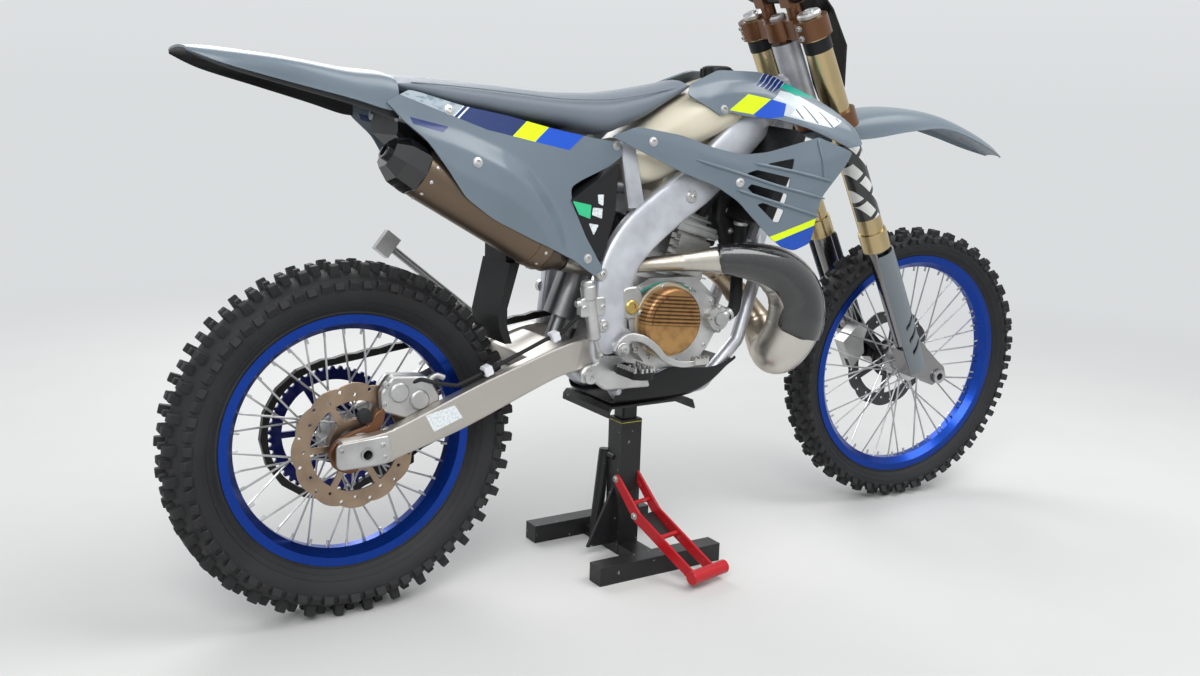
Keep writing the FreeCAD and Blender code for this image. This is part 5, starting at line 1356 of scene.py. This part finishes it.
def makeSwingarm():
    s = swing
    rings = smoothed(barRings(s["stations"], s["square"]), 120)
    for i in s["beads"]:
        centre = sum(rings[i], Vector()) / len(rings[i])
        rings[i] = [centre + (point - centre) * 1.03 for point in rings[i]]
    x, z = s["axle"]
    hole = drum((x, -0.2, z), (x, 0.0, z), s["hole"])
    arm = cutBy(closedForm(rings), hole)
    block = cutBy(plate(s["block"], -0.1165, -0.110, 0.0012), hole)
    spacer = cutBy(drum((x, -0.0645, z), (x, -0.085, z), 0.020), hole)
    fitted("swingarmBars", "brushed_aluminium", [both(arm), plate(s["bridge"], -0.09, 0.09, 0.004)],
           replaces=["swingarm"], smooth=40)
    bolts = [bolt((bx, -0.1165, bz), radius=r) for bx, bz, r in s["bolts"]]
    fitted("axleBlocks", "cast_silver", [both(joined([block, spacer] + bolts))])
    fitted("armSticker", "grey_plastic", [plate(s["sticker"], -0.1126, -0.1118, 0.0001)], finish=paperFoil)
    clip = moved(box((-0.009, -0.011, -0.011), (0.009, 0.011, 0.008), 0.002), spin(s["slope"], "Y"))
    clips = [moved(clip, Matrix.Translation(spot)) for spot in s["clips"]]
    fitted("hoseClips", "grey_plastic", clips, finish=whitePlastic)


makeSwingarm()
print("swingarm made")


# Rear brake: caliper halves, bridge, bracket arm, boot

rearBrake = {
    "body": mm([(-594, 404, 8), (-548, 386, 20), (-500, 374, 8), (-482, 398, 8), (-480, 424, 12),
                (-503, 462, 14), (-574, 469, 14), (-596, 440, 10)]),
    "bridge": mm([(-572, 467, 6), (-556, 447, 4), (-522, 410, 20), (-508, 386, 4), (-484, 400, 6),
                  (-480, 424, 10), (-503, 461, 12)]),
    "halves": mm([(-84, -61.5), (-46.5, -38)]),
    "arm": mm([(-586, 414, 6), (-606, 404, 6), (-622, 380, 12), (-652, 372, 15), (-680, 362, 20),
               (-697, 338, 20), (-688, 308, 20), (-660, 294, 20), (-640, 298, 8), (-643, 310, 6),
               (-660, 315, 12), (-671, 331, 12), (-667, 347, 12), (-648, 355, 12), (-612, 360, 20),
               (-592, 384, 10)]),
    "ring": mm([(20, 0), (32, 0), (32, 14), (20, 14)]),
    "inlet": mm([(-500, -80, 456), (-486, -78, 462), (-470, -78, 456)]),
    "lump": mm([(0, 0), (19, 0), (19, 4), (16, 7), (6, 8), (0, 8)]),
    "lumps": mm([(-562, 438), (-522, 420)]),
    "bolts": mm([(-586, 454, 5), (-500, 452, 6), (-494, 396, 6), (-590, 418, 4)]),
    "boot": mm([(0, 0), (11, 0), (14, 3), (11, 6), (14, 9), (11, 12), (13, 15), (8, 18), (0, 18)]),
}


def makeRearBrake():
    b = rearBrake
    out = (0, -1, 0)
    x, z = swing["axle"]
    parts = [plate(b["body"], low, high, 0.003) for low, high in b["halves"]]
    parts.append(plate(b["bridge"], -0.080, -0.040, 0.002))
    parts += [disc((lx, -0.083, lz), out, b["lump"], 32) for lx, lz in b["lumps"]]
    parts += [bolt((bx, -0.084, bz), radius=r, tall=0.005) for bx, bz, r in b["bolts"]]
    parts += [moved(lathe(b["ring"], 48), facing((x, -0.070, z), out)), tube(b["inlet"], 0.006, 12, 8)]
    fitted("rearCaliper", "cast_silver", parts, replaces=["rear_brake_caliper"])
    arm = [plate(b["arm"], -0.0838, -0.072, 0.0015), bolt((-0.650, -0.0838, 0.363), radius=0.004)]
    fitted("caliperArm", "bronze_clamp", arm)
    fitted("caliperBoot", "black_rubber", [disc((-0.628, -0.072, 0.400), out, b["boot"], 28)])


makeRearBrake()
print("rear brake made")


# Engine: clutch cover, cases' screws, plug, pump, hose, barrel and head, carburettor

engine = {
    "clutch": (0.012, 0.539),
    "cover": mm([(0, 0), (71.5, 0), (72, 4), (70.5, 24), (68, 28.5), (65.5, 30), (64.5, 31.8), (62.5, 32.5),
                 (0, 32.5)]),
    "ribs": 8, "ribPitch": 0.0078, "ribFrom": -0.004, "ribLean": 5.7,
    "rim": mm([(60, 0), (79, 0), (79.5, 3), (77.5, 6.5), (60, 6.5)]),
    "caseBolts": mm([(-60, 482), (-30, 464), (45, 450), (112, 479), (140, 508), (128, 572), (72, 600),
                     (-24, 600)]),
    "boss": mm([(-100, 612, 12), (-60, 614, 14), (-46, 582, 12), (-54, 548, 12), (-92, 546, 12)]),
    "plug": mm([(0, 0), (15, 0), (15, 2), (12.5, 4.5), (8.5, 4.5), (7.5, 1.5), (0, 1.5)]),
    "seal": mm([(-66, -116.5, 596), (-24, -116.5, 613), (4, -116.5, 617), (45, -116.5, 611),
                (86, -116.5, 594)]),
    "pump": (0.138, 0.536),
    "pumpCover": mm([(0, 0), (28.5, 0), (28.5, 12), (25.5, 17.5), (15, 19), (13, 24.5), (7, 26), (0, 26)]),
    "hose": mm([(160, -130, 542), (184, -124, 552), (208, -100, 585), (222, -82, 640), (222, -84, 700),
                (214, -96, 744)]),
    "bands": [("drum", (160, -130.2, 542), (167, -128.7, 545), 15.5),
              ("drum", (214, -95, 728), (214, -96, 736), 15.5)],
    "barrel": (0.098, 0.605, 16),   # x, z and lean in degrees; the next lines are in the barrel's own place
    "barrelParts": [("box", (-54, -58, 0), (54, 58, 110), 14), ("box", (-58, -62, 104), (58, 62, 118), 3),
                    ("box", (-54, -58, 117), (54, 58, 128), 3), ("box", (-47, -50, 124), (47, 50, 153), 13)],
    "barrelFins": 5, "finPitch": 0.016,
    "lead": mm([(0, 0, 176), (4, -2, 196), (24, -6, 206), (46, -8, 204)]), "leadSizes": mm([11, 11, 9, 6]),
    "carburettor": [("drum", (34, 0, 700), (-32, 0, 712), 27), ("box", (-26, -26, 652), (24, 26, 690), 6),
                    ("drum", (0, 0, 700), (6, 0, 752), 20)],
    "boots": [("drum", (50, 0, 697), (22, 0, 702), 32, 3), ("drum", (-26, 0, 711), (-130, 0, 735), 36, 3)],
}


def makeEngine():
    e = engine
    x, z = e["clutch"]
    out = (0, -1, 0)
    screw = bolt((0, 0, 0), radius=0.0045)
    parts = [disc((x, -0.118, z), out, e["cover"], 96)]
    lean = Matrix.Translation((x, 0, z)) @ spin(e["ribLean"], "Y")
    for i in range(e["ribs"]):
        rise = e["ribFrom"] + e["ribPitch"] * i
        reach = math.sqrt(0.060 ** 2 - rise ** 2) - 0.002
        parts.append(moved(box((-reach, -0.1550, rise - 0.0025), (reach, -0.149, rise + 0.0025), 0.0019), lean))
    fitted("clutchCover", "worn_bronze", parts, replaces=["clutch_cover"], smooth=40)
    rim = moved(lathe(e["rim"], 96), facing((x, -0.1175, z), out))
    fitted("coverRim", "cast_silver", [rim], finish=paleRim)
    px, pz = e["pump"]
    ears = ringOf("coverScrews", moved(screw, Matrix.Translation((0.0725, -0.0065, 0))), 6)
    pumpScrews = ringOf("pumpScrews", moved(screw, Matrix.Translation((0.0245, -0.0165, 0))), 4)
    silver = [moved(ears, Matrix.Translation((x, -0.1175, z)) @ Matrix.Rotation(0.3, 4, "Y"))]
    silver += [bolt((bx, -0.118, bz), radius=0.0045) for bx, bz in e["caseBolts"]]
    silver += [plate(e["boss"], -0.1215, -0.100, 0.003), disc((px, -0.118, pz), out, e["pumpCover"], 48),
               moved(pumpScrews, Matrix.Translation((px, -0.118, pz))),
               drum((px, -0.130, pz), (0.172, -0.128, 0.546), 0.0115)]
    fitted("caseFittings", "cast_silver", silver, replaces=["water_pump"])
    fitted("oilPlug", "cast_silver", [disc((-0.077, -0.1210, 0.572), out, e["plug"], 32)], finish=goldPlug)
    fitted("caseSeal", "black_rubber", [tube(e["seal"], 0.0022, 8, 30)], finish=tealSeal)
    fitted("coolantHose", "black_rubber", [tube(e["hose"], 0.0135, 20, 60)])
    fitted("hoseBands", "cast_silver", built(e["bands"]))
    bx, bz, lean = e["barrel"]
    place = Matrix.Translation((bx, 0, bz)) @ spin(lean, "Y")
    barrel = built(e["barrelParts"])
    for i in range(e["barrelFins"]):
        rise = e["finPitch"] * i
        barrel.append(box((-0.0555, -0.0600, 0.018 + rise), (0.0555, 0.0600, 0.021 + rise), 0.001))
    stud = moved(bolt((0, 0, 0), (0, 1, 0), 0.0055, 0.006), Matrix.Translation((0.040, 0.153, 0)))
    barrel.append(moved(ringOf("headNuts", stud, 6), spin(90, "X")))
    fitted("cylinderBarrel", "cast_silver", [moved(joined(barrel), place)], replaces=["cylinder"])
    plug = [drum((0, 0, 0.150), (0, 0, 0.180), 0.009), tube(e["lead"], e["leadSizes"], 16, 20)]
    fitted("plugCap", "black_rubber", [moved(joined(plug), place)])
    fitted("carburettor", "black_aluminium", built(e["carburettor"]))
    boots = built(e["boots"])
    for i in range(4):
        x, z = -0.016 * i, 0.0037 * i
        boots.append(drum((x - 0.045, 0, z + 0.7155), (x - 0.053, 0, z + 0.7174), 0.0385, 0.002))
    fitted("intakeBoots", "black_rubber", boots)


makeEngine()
print("engine made")


# Foot controls: brake pedal, peg teeth, peg bracket, rear master cylinder

controls = {
    # x, y, z, height, thickness
    "pedal": mm([(-118, -132, 484, 18, 8), (-105, -133, 500, 24, 9), (-88, -136, 513, 19, 9),
                 (-64, -148, 510, 16, 9), (-40, -157, 492, 15, 9), (-20, -163, 470, 14, 8),
                 (10, -167, 457, 13, 8), (40, -168, 454, 12, 8), (66, -168, 458, 11, 8)]),
    "bracket": mm([(-190, 446, 10), (-178, 458, 10), (-152, 462, 12), (-140, 500, 10), (-104, 502, 10),
                   (-98, 448, 12), (-69, 422, 10), (-26, 416, 8), (-21, 401, 8), (-131, 404, 12),
                   (-156, 422, 10), (-188, 424, 10)]),
    "pegOuter": mm([(-112, 118, 4), (-118, 136, 10), (-118, 194, 14), (-104, 208, 14), (-80, 208, 14),
                    (-66, 194, 14), (-66, 136, 10), (-72, 118, 4)]),
    "pegInner": mm([(-110, 142, 8), (-110, 190, 10), (-101, 200, 8), (-83, 200, 8), (-74, 190, 10),
                    (-74, 142, 8)]),
    "toothPitch": 0.0095,
    "pedalParts": [("drum", (-105, -112, 490), (-105, -141, 490), 14.5), ("bolt", (-105, -141, 490), (0, -1, 0), 8),
                   ("box", (46, -178, 451), (84, -159, 464), 2)],
    "pegParts": [("box", (-113, -162.8, 443), (-71, -157.2, 455), 1),
                 ("box", (-113, -182.8, 443), (-71, -177.2, 455), 1),
                 ("box", (-104, -124, 440), (-80, -100, 458), 3), ("drum", (-112, -112, 449), (-72, -112, 449), 6.5)],
    "washer": mm([(6, 0), (13.5, 0), (13.5, 6), (6, 6)]),
    "master": [("drum", (-168, -130, 514), (-190.5, -130, 634), 12.5, 3),
               ("drum", (-190, -130, 592), (-214, -130, 588), 7),
               ("drum", (-183.5, -130, 596), (-188.5, -130, 624), 15.5, 2),
               ("plate", [(-206, 562, 6), (-150, 562, 6), (-150, 600, 6), (-206, 600, 6)], -138, -119, 2),
               ("drum", (-168, -130, 516), (-157, -130, 486), 4.5), ("box", (-163, -137, 474), (-150, -123, 491), 2),
               ("bolt", (-199, -138, 581), (0, -1, 0), 5), ("bolt", (-157, -138, 581), (0, -1, 0), 5),
               ("bolt", (-156.5, -137, 481), (0, -1, 0), 4)],
}


def strap(points, samples=60, square=5):
    # flat bar along a path of (x, y, z, height, thickness), thick along Y
    rows = resampled([list(point) for point in points], samples)
    path = [Vector(row[:3]) for row in rows]
    rings = []
    for centre, way, row in zip(path, directions(path), rows):
        side = Vector((0, 1, 0))
        side = (side - way * side.dot(way)).normalized()
        rings.append(ovalRing(centre, side, way.cross(side), row[4] / 2, row[3] / 2, square, 28))
    return closedForm(rings)


def makeControls():
    c = controls
    shift = Matrix.Translation
    tip = [box((0.049 + 0.0105 * i, -0.177, 0.462), (0.053 + 0.0105 * i, -0.160, 0.468), 0.001) for i in range(4)]
    fitted("brakePedal", "cast_silver", [strap(c["pedal"])] + built(c["pedalParts"]) + tip, replaces=["brake_pedal"])
    ring = cutBy(plate(c["pegOuter"], 0.441, 0.456, 0.001), plate(c["pegInner"], 0.42, 0.48, 0.001))
    peg = [moved(ring, spin(90, "X"))] + built(c["pegParts"])
    fitted("footpegRings", "black_steel", [both(joined(peg))], replaces=["footpegs"])
    tooth = box((-0.0028, -0.0030, -0.001), (0.0028, 0.0030, 0.0085), 0.0009)
    side = rowOf("pegTeeth", tooth, 7, (0, c["toothPitch"], 0))
    end = rowOf("pegEndTeeth", tooth, 3, (c["toothPitch"] * 1.1, 0, 0))
    rows = [moved(side, shift((x, -0.196, 0.455))) for x in (-0.1140, -0.0700)]
    rows += [moved(end, shift((-0.1025, y, 0.455))) for y in (-0.204, -0.180, -0.160)]
    fitted("pegTeeth", "cast_silver", [both(joined(rows))])
    washer = moved(lathe(c["washer"], 32), facing((-0.170, -0.119, 0.436), (0, -1, 0)))
    bracket = [plate(c["bracket"], -0.1195, -0.106, 0.003), washer, bolt((-0.170, -0.120, 0.436), radius=0.0065)]
    fitted("pegBracket", "cast_silver", [both(joined(bracket))])
    fitted("rearMaster", "cast_silver", built(c["master"]), replaces=["rear_master_cylinder"])


makeControls()
print("controls made")


# Silencer: canister, band, rivets, facetted end cap

muffler = {
    "front": mm((-273, -100, 694)), "back": mm((-533, -100, 843)), "radius": 0.046,
    "inlet": mm((-232, -95, 670)), "cap": mm([(0, 46.2), (4, 47), (12, 47), (42, 44), (66, 30)]),
    "neck": mm([(-245, -96.5, 677.5), (-262, -98.8, 687.5)]),
    "tip": mm([(10, 0), (14.5, 0), (14.5, 12), (10, 12)]),
    "rivet": mm([(0, -3), (3.6, -3), (3.4, 0.8), (2, 1.8), (0, 2)]), "rivets": 10, "rivetAt": (0.016, 0.286),
}


def makeMuffler():
    m = muffler
    front, back = Vector(m["front"]), Vector(m["back"])
    way, long, r = (back - front).normalized(), (back - front).length, m["radius"]

    def along(start, spots, sides):
        return tube([start + way * at for at, _ in spots], [size for _, size in spots], sides)

    spots = [(0.0, r - 0.006), (0.002, r - 0.002), (0.006, r), (0.026, r), (0.0265, r + 0.0012), (0.034, r + 0.0012),
             (0.0345, r), (long - 0.012, r), (long, r - 0.001)]
    fitted("silencerBody", "bronze_titanium", [along(front, spots, 56)], replaces=["silencer"], smooth=50)
    inlet = tube([m["inlet"], *m["neck"], front + way * 0.003], [0.0205, 0.026, 0.040, r - 0.005], 40)
    fitted("silencerInlet", "raw_steel", [inlet], finish=darkPipe, smooth=50)
    end = back + way * (m["cap"][-1][0] - 0.004)
    tip = moved(lathe(m["tip"], 32), facing(end, way))
    fitted("silencerCap", "carbon_weave", [along(back, m["cap"], 8), tip], finish=glossBlack, smooth=20)
    rivet = moved(lathe(m["rivet"], 12, False), Matrix.Translation((r, 0, 0)) @ spin(-90, "Z"))
    rings = [moved(ringOf("rivets", rivet, m["rivets"]), facing(front + way * at, way)) for at in m["rivetAt"]]
    fitted("silencerRivets", "cast_silver", rings)


makeMuffler()
print("silencer made")


# Screws on panels and frame

screws = {
    "panel": mm([(-478, 952), (-436, 862), (-111, 893), (-187, 676)]),
    "shroud": mm([(-41, 902), (157, 823)]),
    "band": mm([(139, 969)]),
    "head": mm([(0, 0), (13.5, 0), (13.5, 12), (11.5, 14.5), (0, 14.5)]),
    "frame": mm([(-150, 643), (-152, 586), (-142, 538), (64, 792)]),
}


def makeScrews():
    spots = []
    near = 0.004
    for key, stations, soft in (("panel", sidePanel["stations"], sidePanel["soft"]),
                                ("shroud", shroud["stations"], shroud["soft"]),
                                ("band", shroud["bandStations"], shroud["bandSoft"])):
        y = surfaceOf(stations, soft)
        for x, z in screws[key]:
            slope = ((y(x + near, z) - y(x - near, z)) / (2 * near), -1, (y(x, z + near) - y(x, z - near)) / (2 * near))
            spots.append(bolt((x, y(x, z), z), slope, 0.0068, 0.0035))
    fitted("panelScrews", "cast_silver", [both(joined(spots))])
    bolts = []
    for x, z in screws["frame"]:
        bolts += [disc((x, -0.108, z), (0, -1, 0), screws["head"], 28),
                  bolt((x, -0.1225, z), radius=0.0062, tall=0.005)]
    fitted("frameBolts", "cast_silver", [both(joined(bolts))])


makeScrews()
print("screws made")


# Fork: bands, caps, foils, seals, clamp screws; all in the fork's own place

fork = {
    "lead": 0.008, "side": 0.105, "tube": 0.029, "foilLow": 0.467, "foilHigh": 0.660, "foilSpread": 78,
    "band": mm([(0, 0), (30.2, 0), (30.8, 2), (30.8, 25), (30.2, 27), (0, 27)]),
    "cap": mm([(0, 0), (26.5, 0), (26.5, 6), (23.5, 10), (12, 10), (11, 14), (6, 14), (5, 11), (0, 11)]),
    "seal": mm([(0, 0), (26.2, 0), (27.2, 3), (27.2, 6), (0, 6)]),
    "nut": mm([(0, 0), (19, 0), (19, 7), (15, 11), (8, 11), (8, 6), (0, 6)]),
    "clampScrews": (0.699, 0.719, 0.913, 0.935),
}


def makeFork():
    f = fork
    up = (0, 0, 1)
    black, silver, foils, rubber = [], [], [], []
    for side in (-1, 1):
        spot = Vector((f["lead"], side * f["side"], 0))
        black.append(disc(spot + Vector((0, 0, 0.871)), up, f["band"], 48))
        silver.append(disc(spot + Vector((0, 0, 0.948)), up, f["cap"], 12))
        rubber.append(disc(spot + Vector((0, 0, 0.3795)), up, f["seal"], 40))
        for rise in f["clampScrews"]:
            silver.append(bolt(spot + Vector((-0.037, side * 0.006, rise)), (-1, 0, 0), 0.005, 0.005))
        front = Vector((-0.25, side, 0)).normalized() * (f["tube"] + 0.0004)
        arms = [spot + Matrix.Rotation(math.radians(f["foilSpread"] * (j / 12 - 1)), 3, "Z") @ front for j in range(25)]
        rises = [f["foilLow"] + (f["foilHigh"] - f["foilLow"]) * i / 24 for i in range(25)]
        foils.append(thickened([[arm + Vector((0, 0, rise)) for arm in arms] for rise in rises], 0.0003))
    for side in (-1, 1):
        for ahead in (-0.014, 0.014):
            silver.append(bolt((f["lead"] + 0.006 + ahead, side * 0.048, 1.006), up, 0.005, 0.005))
    silver.append(disc((0, 0, 0.944), up, f["nut"], 6))
    for name, slotName, parts, finish in (("forkBands", "black_aluminium", black, None),
                                          ("forkFittings", "cast_silver", silver, None),
                                          ("forkFoils", "gold_anodised", foils, forkFoil),
                                          ("forkSeals", "black_rubber", rubber, None)):
        fitted(name, slotName, [moved(joined(parts), forkPlace)], "steering", finish=finish)


makeFork()
print("fork made")


# Radiator fins, vent foils, stand fittings

extras = {
    "radiator": (0.256, -0.118, 0.832), "fins": 56, "finPitch": 0.0031,
    "teal": mm([(-221, 788), (-178, 779), (-180, 752), (-205, 761)]),
    "white": mm([[(-164, 799), (-150, 799), (-151, 777), (-162, 782)],
                 [(-174, 774), (-152, 772), (-153, 752), (-176, 760)],
                 [(-183, 744), (-160, 740), (-171, 720)]]),
    "unit": mm([(174, 735, 10), (176, 806, 12), (212, 834, 14), (250, 780, 20), (264, 712, 14),
                (256, 664, 10), (206, 664, 10)]),
    "unitBolts": mm([(200, 756), (210, 712)]),
    "hoses": mm([[(146, -40, 748), (160, -60, 790), (196, -74, 822), (240, -88, 850)],
                 [(222, -70, 650), (238, -66, 690), (244, -80, 735)]]),
    # x, underside, top edge of the side wall
    "skid": mm([(-90, 363, 390), (-30, 361, 402), (40, 360, 428), (110, 364, 424), (162, 385, 422),
                (200, 412, 432), (222, 430, 439)]),
    "table": mm([(-106, 336), (-105, 350), (-97, 359), (-40, 359), (98, 359), (112, 353), (119, 334)]),
    # outward reach and height of a lever plate's corners; the lever turns 11.6 degrees about the post
    "lever": mm([(-10, 176, 6), (4, 191, 8), (76, 119, 20), (238, 37, 5), (228, 15, 5), (60, 98, 20)]),
    "leverTurn": 11.6, "leverFoot": (-0.041, -0.031, 0),
    "leverParts": [("drum", (2, -46, 133), (63, -46, 133), 5), ("drum", (2, -130, 80), (63, -130, 80), 5),
                   ("drum", (-6, -233, 26.5), (100, -233, 26.5), 14.5, 2)],
    "leverBolts": mm([(0, -1, 178), (0, -60, 110), (2, -88, 30)]),
    "band": [("box", (-27.8, -27.8, 296.5), (27.8, 27.8, 303), 2.5)],
    "strut": [("drum", (-24, 40, 226), (-44, 40, 34), 13.5, 2), ("drum", (-24, 46, 216), (-24, 0, 216), 7),
              ("drum", (-44, 46, 38), (-44, 0, 38), 7)],
    "post": [("box", (-19, -19, 186), (19, 19, 355), 3), ("box", (-50, -50, 343), (50, 50, 355), 4)],
}


def makeExtras():
    e = extras
    shift = Matrix.Translation
    fins = rowOf("fins", box((-0.0178, -0.040, -0.0004), (0.0178, 0.040, 0.0004)), e["fins"], (0, 0, e["finPitch"]),
                 "black_aluminium")
    place = shift(e["radiator"]) @ spin(24, "Y") @ spin(14, "Z") @ shift((0, 0, -0.0855))
    fitted("radiatorFins", "black_aluminium", [both(moved(fins, place))])
    for name, shapes, finish in (("ventTeal", [e["teal"]], tealFoil), ("ventWhite", e["white"], paperFoil)):
        foils = [plate(shape, -0.1186, -0.117, 0.0001) for shape in shapes]
        fitted(name, "slate_plastic", [both(joined(foils))], finish=finish)
    fitted("standBand", "black_rubber", built(e["band"]), finish=yellowBand)
    fitted("standStrut", "black_paint", built(e["strut"]))
    place = shift(e["leverFoot"]) @ spin(e["leverTurn"], "Z")
    red = [moved(plate(e["lever"], low, low + 0.0055, 0.001), spin(-90, "Z")) for low in (0.0, 0.0600)]
    fitted("standLever", "red_paint", [moved(joined(red + built(e["leverParts"])), place)], replaces=["stand_lever"])
    dark = moved(box((0.007, -0.036, -0.002), (0.059, 0.036, 0.002), 0.001), shift((0, -0.090, 0.088)) @ spin(32, "X"))
    fitted("leverPlate", "black_paint", [moved(dark, place)])
    bolts = [bolt(spot, (-1, 0, 0), 0.0055, 0.005) for spot in e["leverBolts"]]
    fitted("standBolts", "cast_silver", [moved(joined(bolts), place)])
    sheet = thickened([[Vector((x, y, z)) for x, z in e["table"]] for y in (-0.093, -0.050, 0, 0.050, 0.093)], 0.005)
    rounded(fitted("standTable", "black_paint", [sheet] + built(e["post"]), replaces=["stand_table"]), 0.0008)
    rows = []
    for x, low, high in e["skid"]:
        wall = [(-0.094, high), (-0.094, (low + high) / 2), (-0.0925, low + 0.009), (-0.084, low + 0.001),
                (-0.060, low)]
        rows.append([Vector((x, y, z)) for y, z in wall + [(0, low)] + [(-y, z) for y, z in wall[::-1]]])
    fitted("skidShell", "black_plastic", [thickened(smoothed(rows, 40), 0.003)], replaces=["skid_plate"], smooth=40)
    dark = [plate(e["unit"], -0.068, -0.040, 0.005)] + [tube(line, 0.0135, 16, 30) for line in e["hoses"]]
    fitted("intakeUnit", "black_rubber", [both(part) for part in dark])
    fitted("unitBolts", "cast_silver", [both(joined([bolt((x, -0.068, z), radius=0.005) for x, z in e["unitBolts"]]))])


makeExtras()
print("extras made")


# Lamps, world and floor

studio = {
    # place, size, watts
    "lamps": [((-2.4, -3.2, 3.4), 2.6, 120), ((1.6, -1.4, 4.2), 3.0, 110), ((0.4, 3.2, 3.0), 2.6, 70)],
    "sky": 0.62, "floor": (0.62, 0.615, 0.60), "low": (0.70, 0.72, 0.73), "high": (0.93, 0.95, 0.97),
}


def makeStudio():
    target = Vector((0.1, 0, 0.6))
    for i, (place, width, watts) in enumerate(studio["lamps"]):
        lamp = bpy.data.lights.new("softLamp%d" % i, "AREA")
        lamp.shape = "DISK"
        lamp.size = width
        lamp.energy = watts
        holder = bpy.data.objects.new("softLamp%d" % i, lamp)
        holder.location = place
        holder.rotation_euler = (target - Vector(place)).to_track_quat("-Z", "Y").to_euler()
        bpy.context.scene.collection.objects.link(holder)
    world = bpy.data.worlds.new("studio")
    bpy.context.scene.world = world
    world.use_nodes = True
    world.node_tree.nodes.clear()
    sky = Bench(world.node_tree)
    height = sky.node("ShaderNodeSeparateXYZ", {}, [sky.node("ShaderNodeTexCoord").out("Generated")]).out("Z")
    shade = sky.node("ShaderNodeValToRGB", {"stops": [(0.0, studio["low"]), (0.55, studio["high"])]}, [height])
    lit = sky.node("ShaderNodeBackground", {}, {"Color": (0.90, 0.95, 1.0, 1), "Strength": studio["sky"]})
    seen = sky.node("ShaderNodeBackground", {}, {"Color": shade})
    rays = sky.node("ShaderNodeLightPath")
    mirrored = rays.calc("MAXIMUM", rays.out("Is Glossy Ray"), rays.out("Is Transmission Ray"))
    plain = rays.calc("MAXIMUM", rays.out("Is Camera Ray"), mirrored)
    sky.node("ShaderNodeOutputWorld", {}, [sky.node("ShaderNodeMixShader", {}, [plain, lit, seen])])
    side = 12
    corners = [(-side, -side, 0), (side, -side, 0), (side, side, 0), (-side, side, 0)]
    floor = placed("floor", (corners, [(0, 1, 2, 3)]))
    concrete = Finish("paleFloor", studio["floor"], 0.8)
    worn = concrete.mix(concrete.noise(3, 5), studio["floor"], dimmed(studio["floor"], 0.93))
    concrete.put("Base Color", worn)
    # the floor fades into the backdrop
    far = concrete.node("ShaderNodeVectorMath", {"operation": "LENGTH"}, [concrete.place]).out("Value")
    fade = concrete.node("ShaderNodeMapRange", {"interpolation_type": "SMOOTHSTEP"},
                         {"Value": far, "From Min": 1.7, "From Max": 4.6})
    rays = concrete.node("ShaderNodeLightPath")
    plain = rays.calc("MAXIMUM", rays.out("Is Camera Ray"), rays.out("Is Glossy Ray"))
    glow = concrete.node("ShaderNodeEmission", {}, {"Color": (*studio["low"], 1), "Strength": 1.0})
    surface = Wire(concrete, concrete.shader.outputs[0])
    shown = concrete.node("ShaderNodeMixShader", {}, [fade * plain, surface, glow])
    output = next(node for node in concrete.tree.nodes if node.type == "OUTPUT_MATERIAL")
    concrete.tree.links.new(shown.socket, output.inputs["Surface"])
    floor.data.materials.append(concrete.material)
    bpy.context.scene.view_settings.view_transform = "Standard"


makeStudio()
print("studio made")
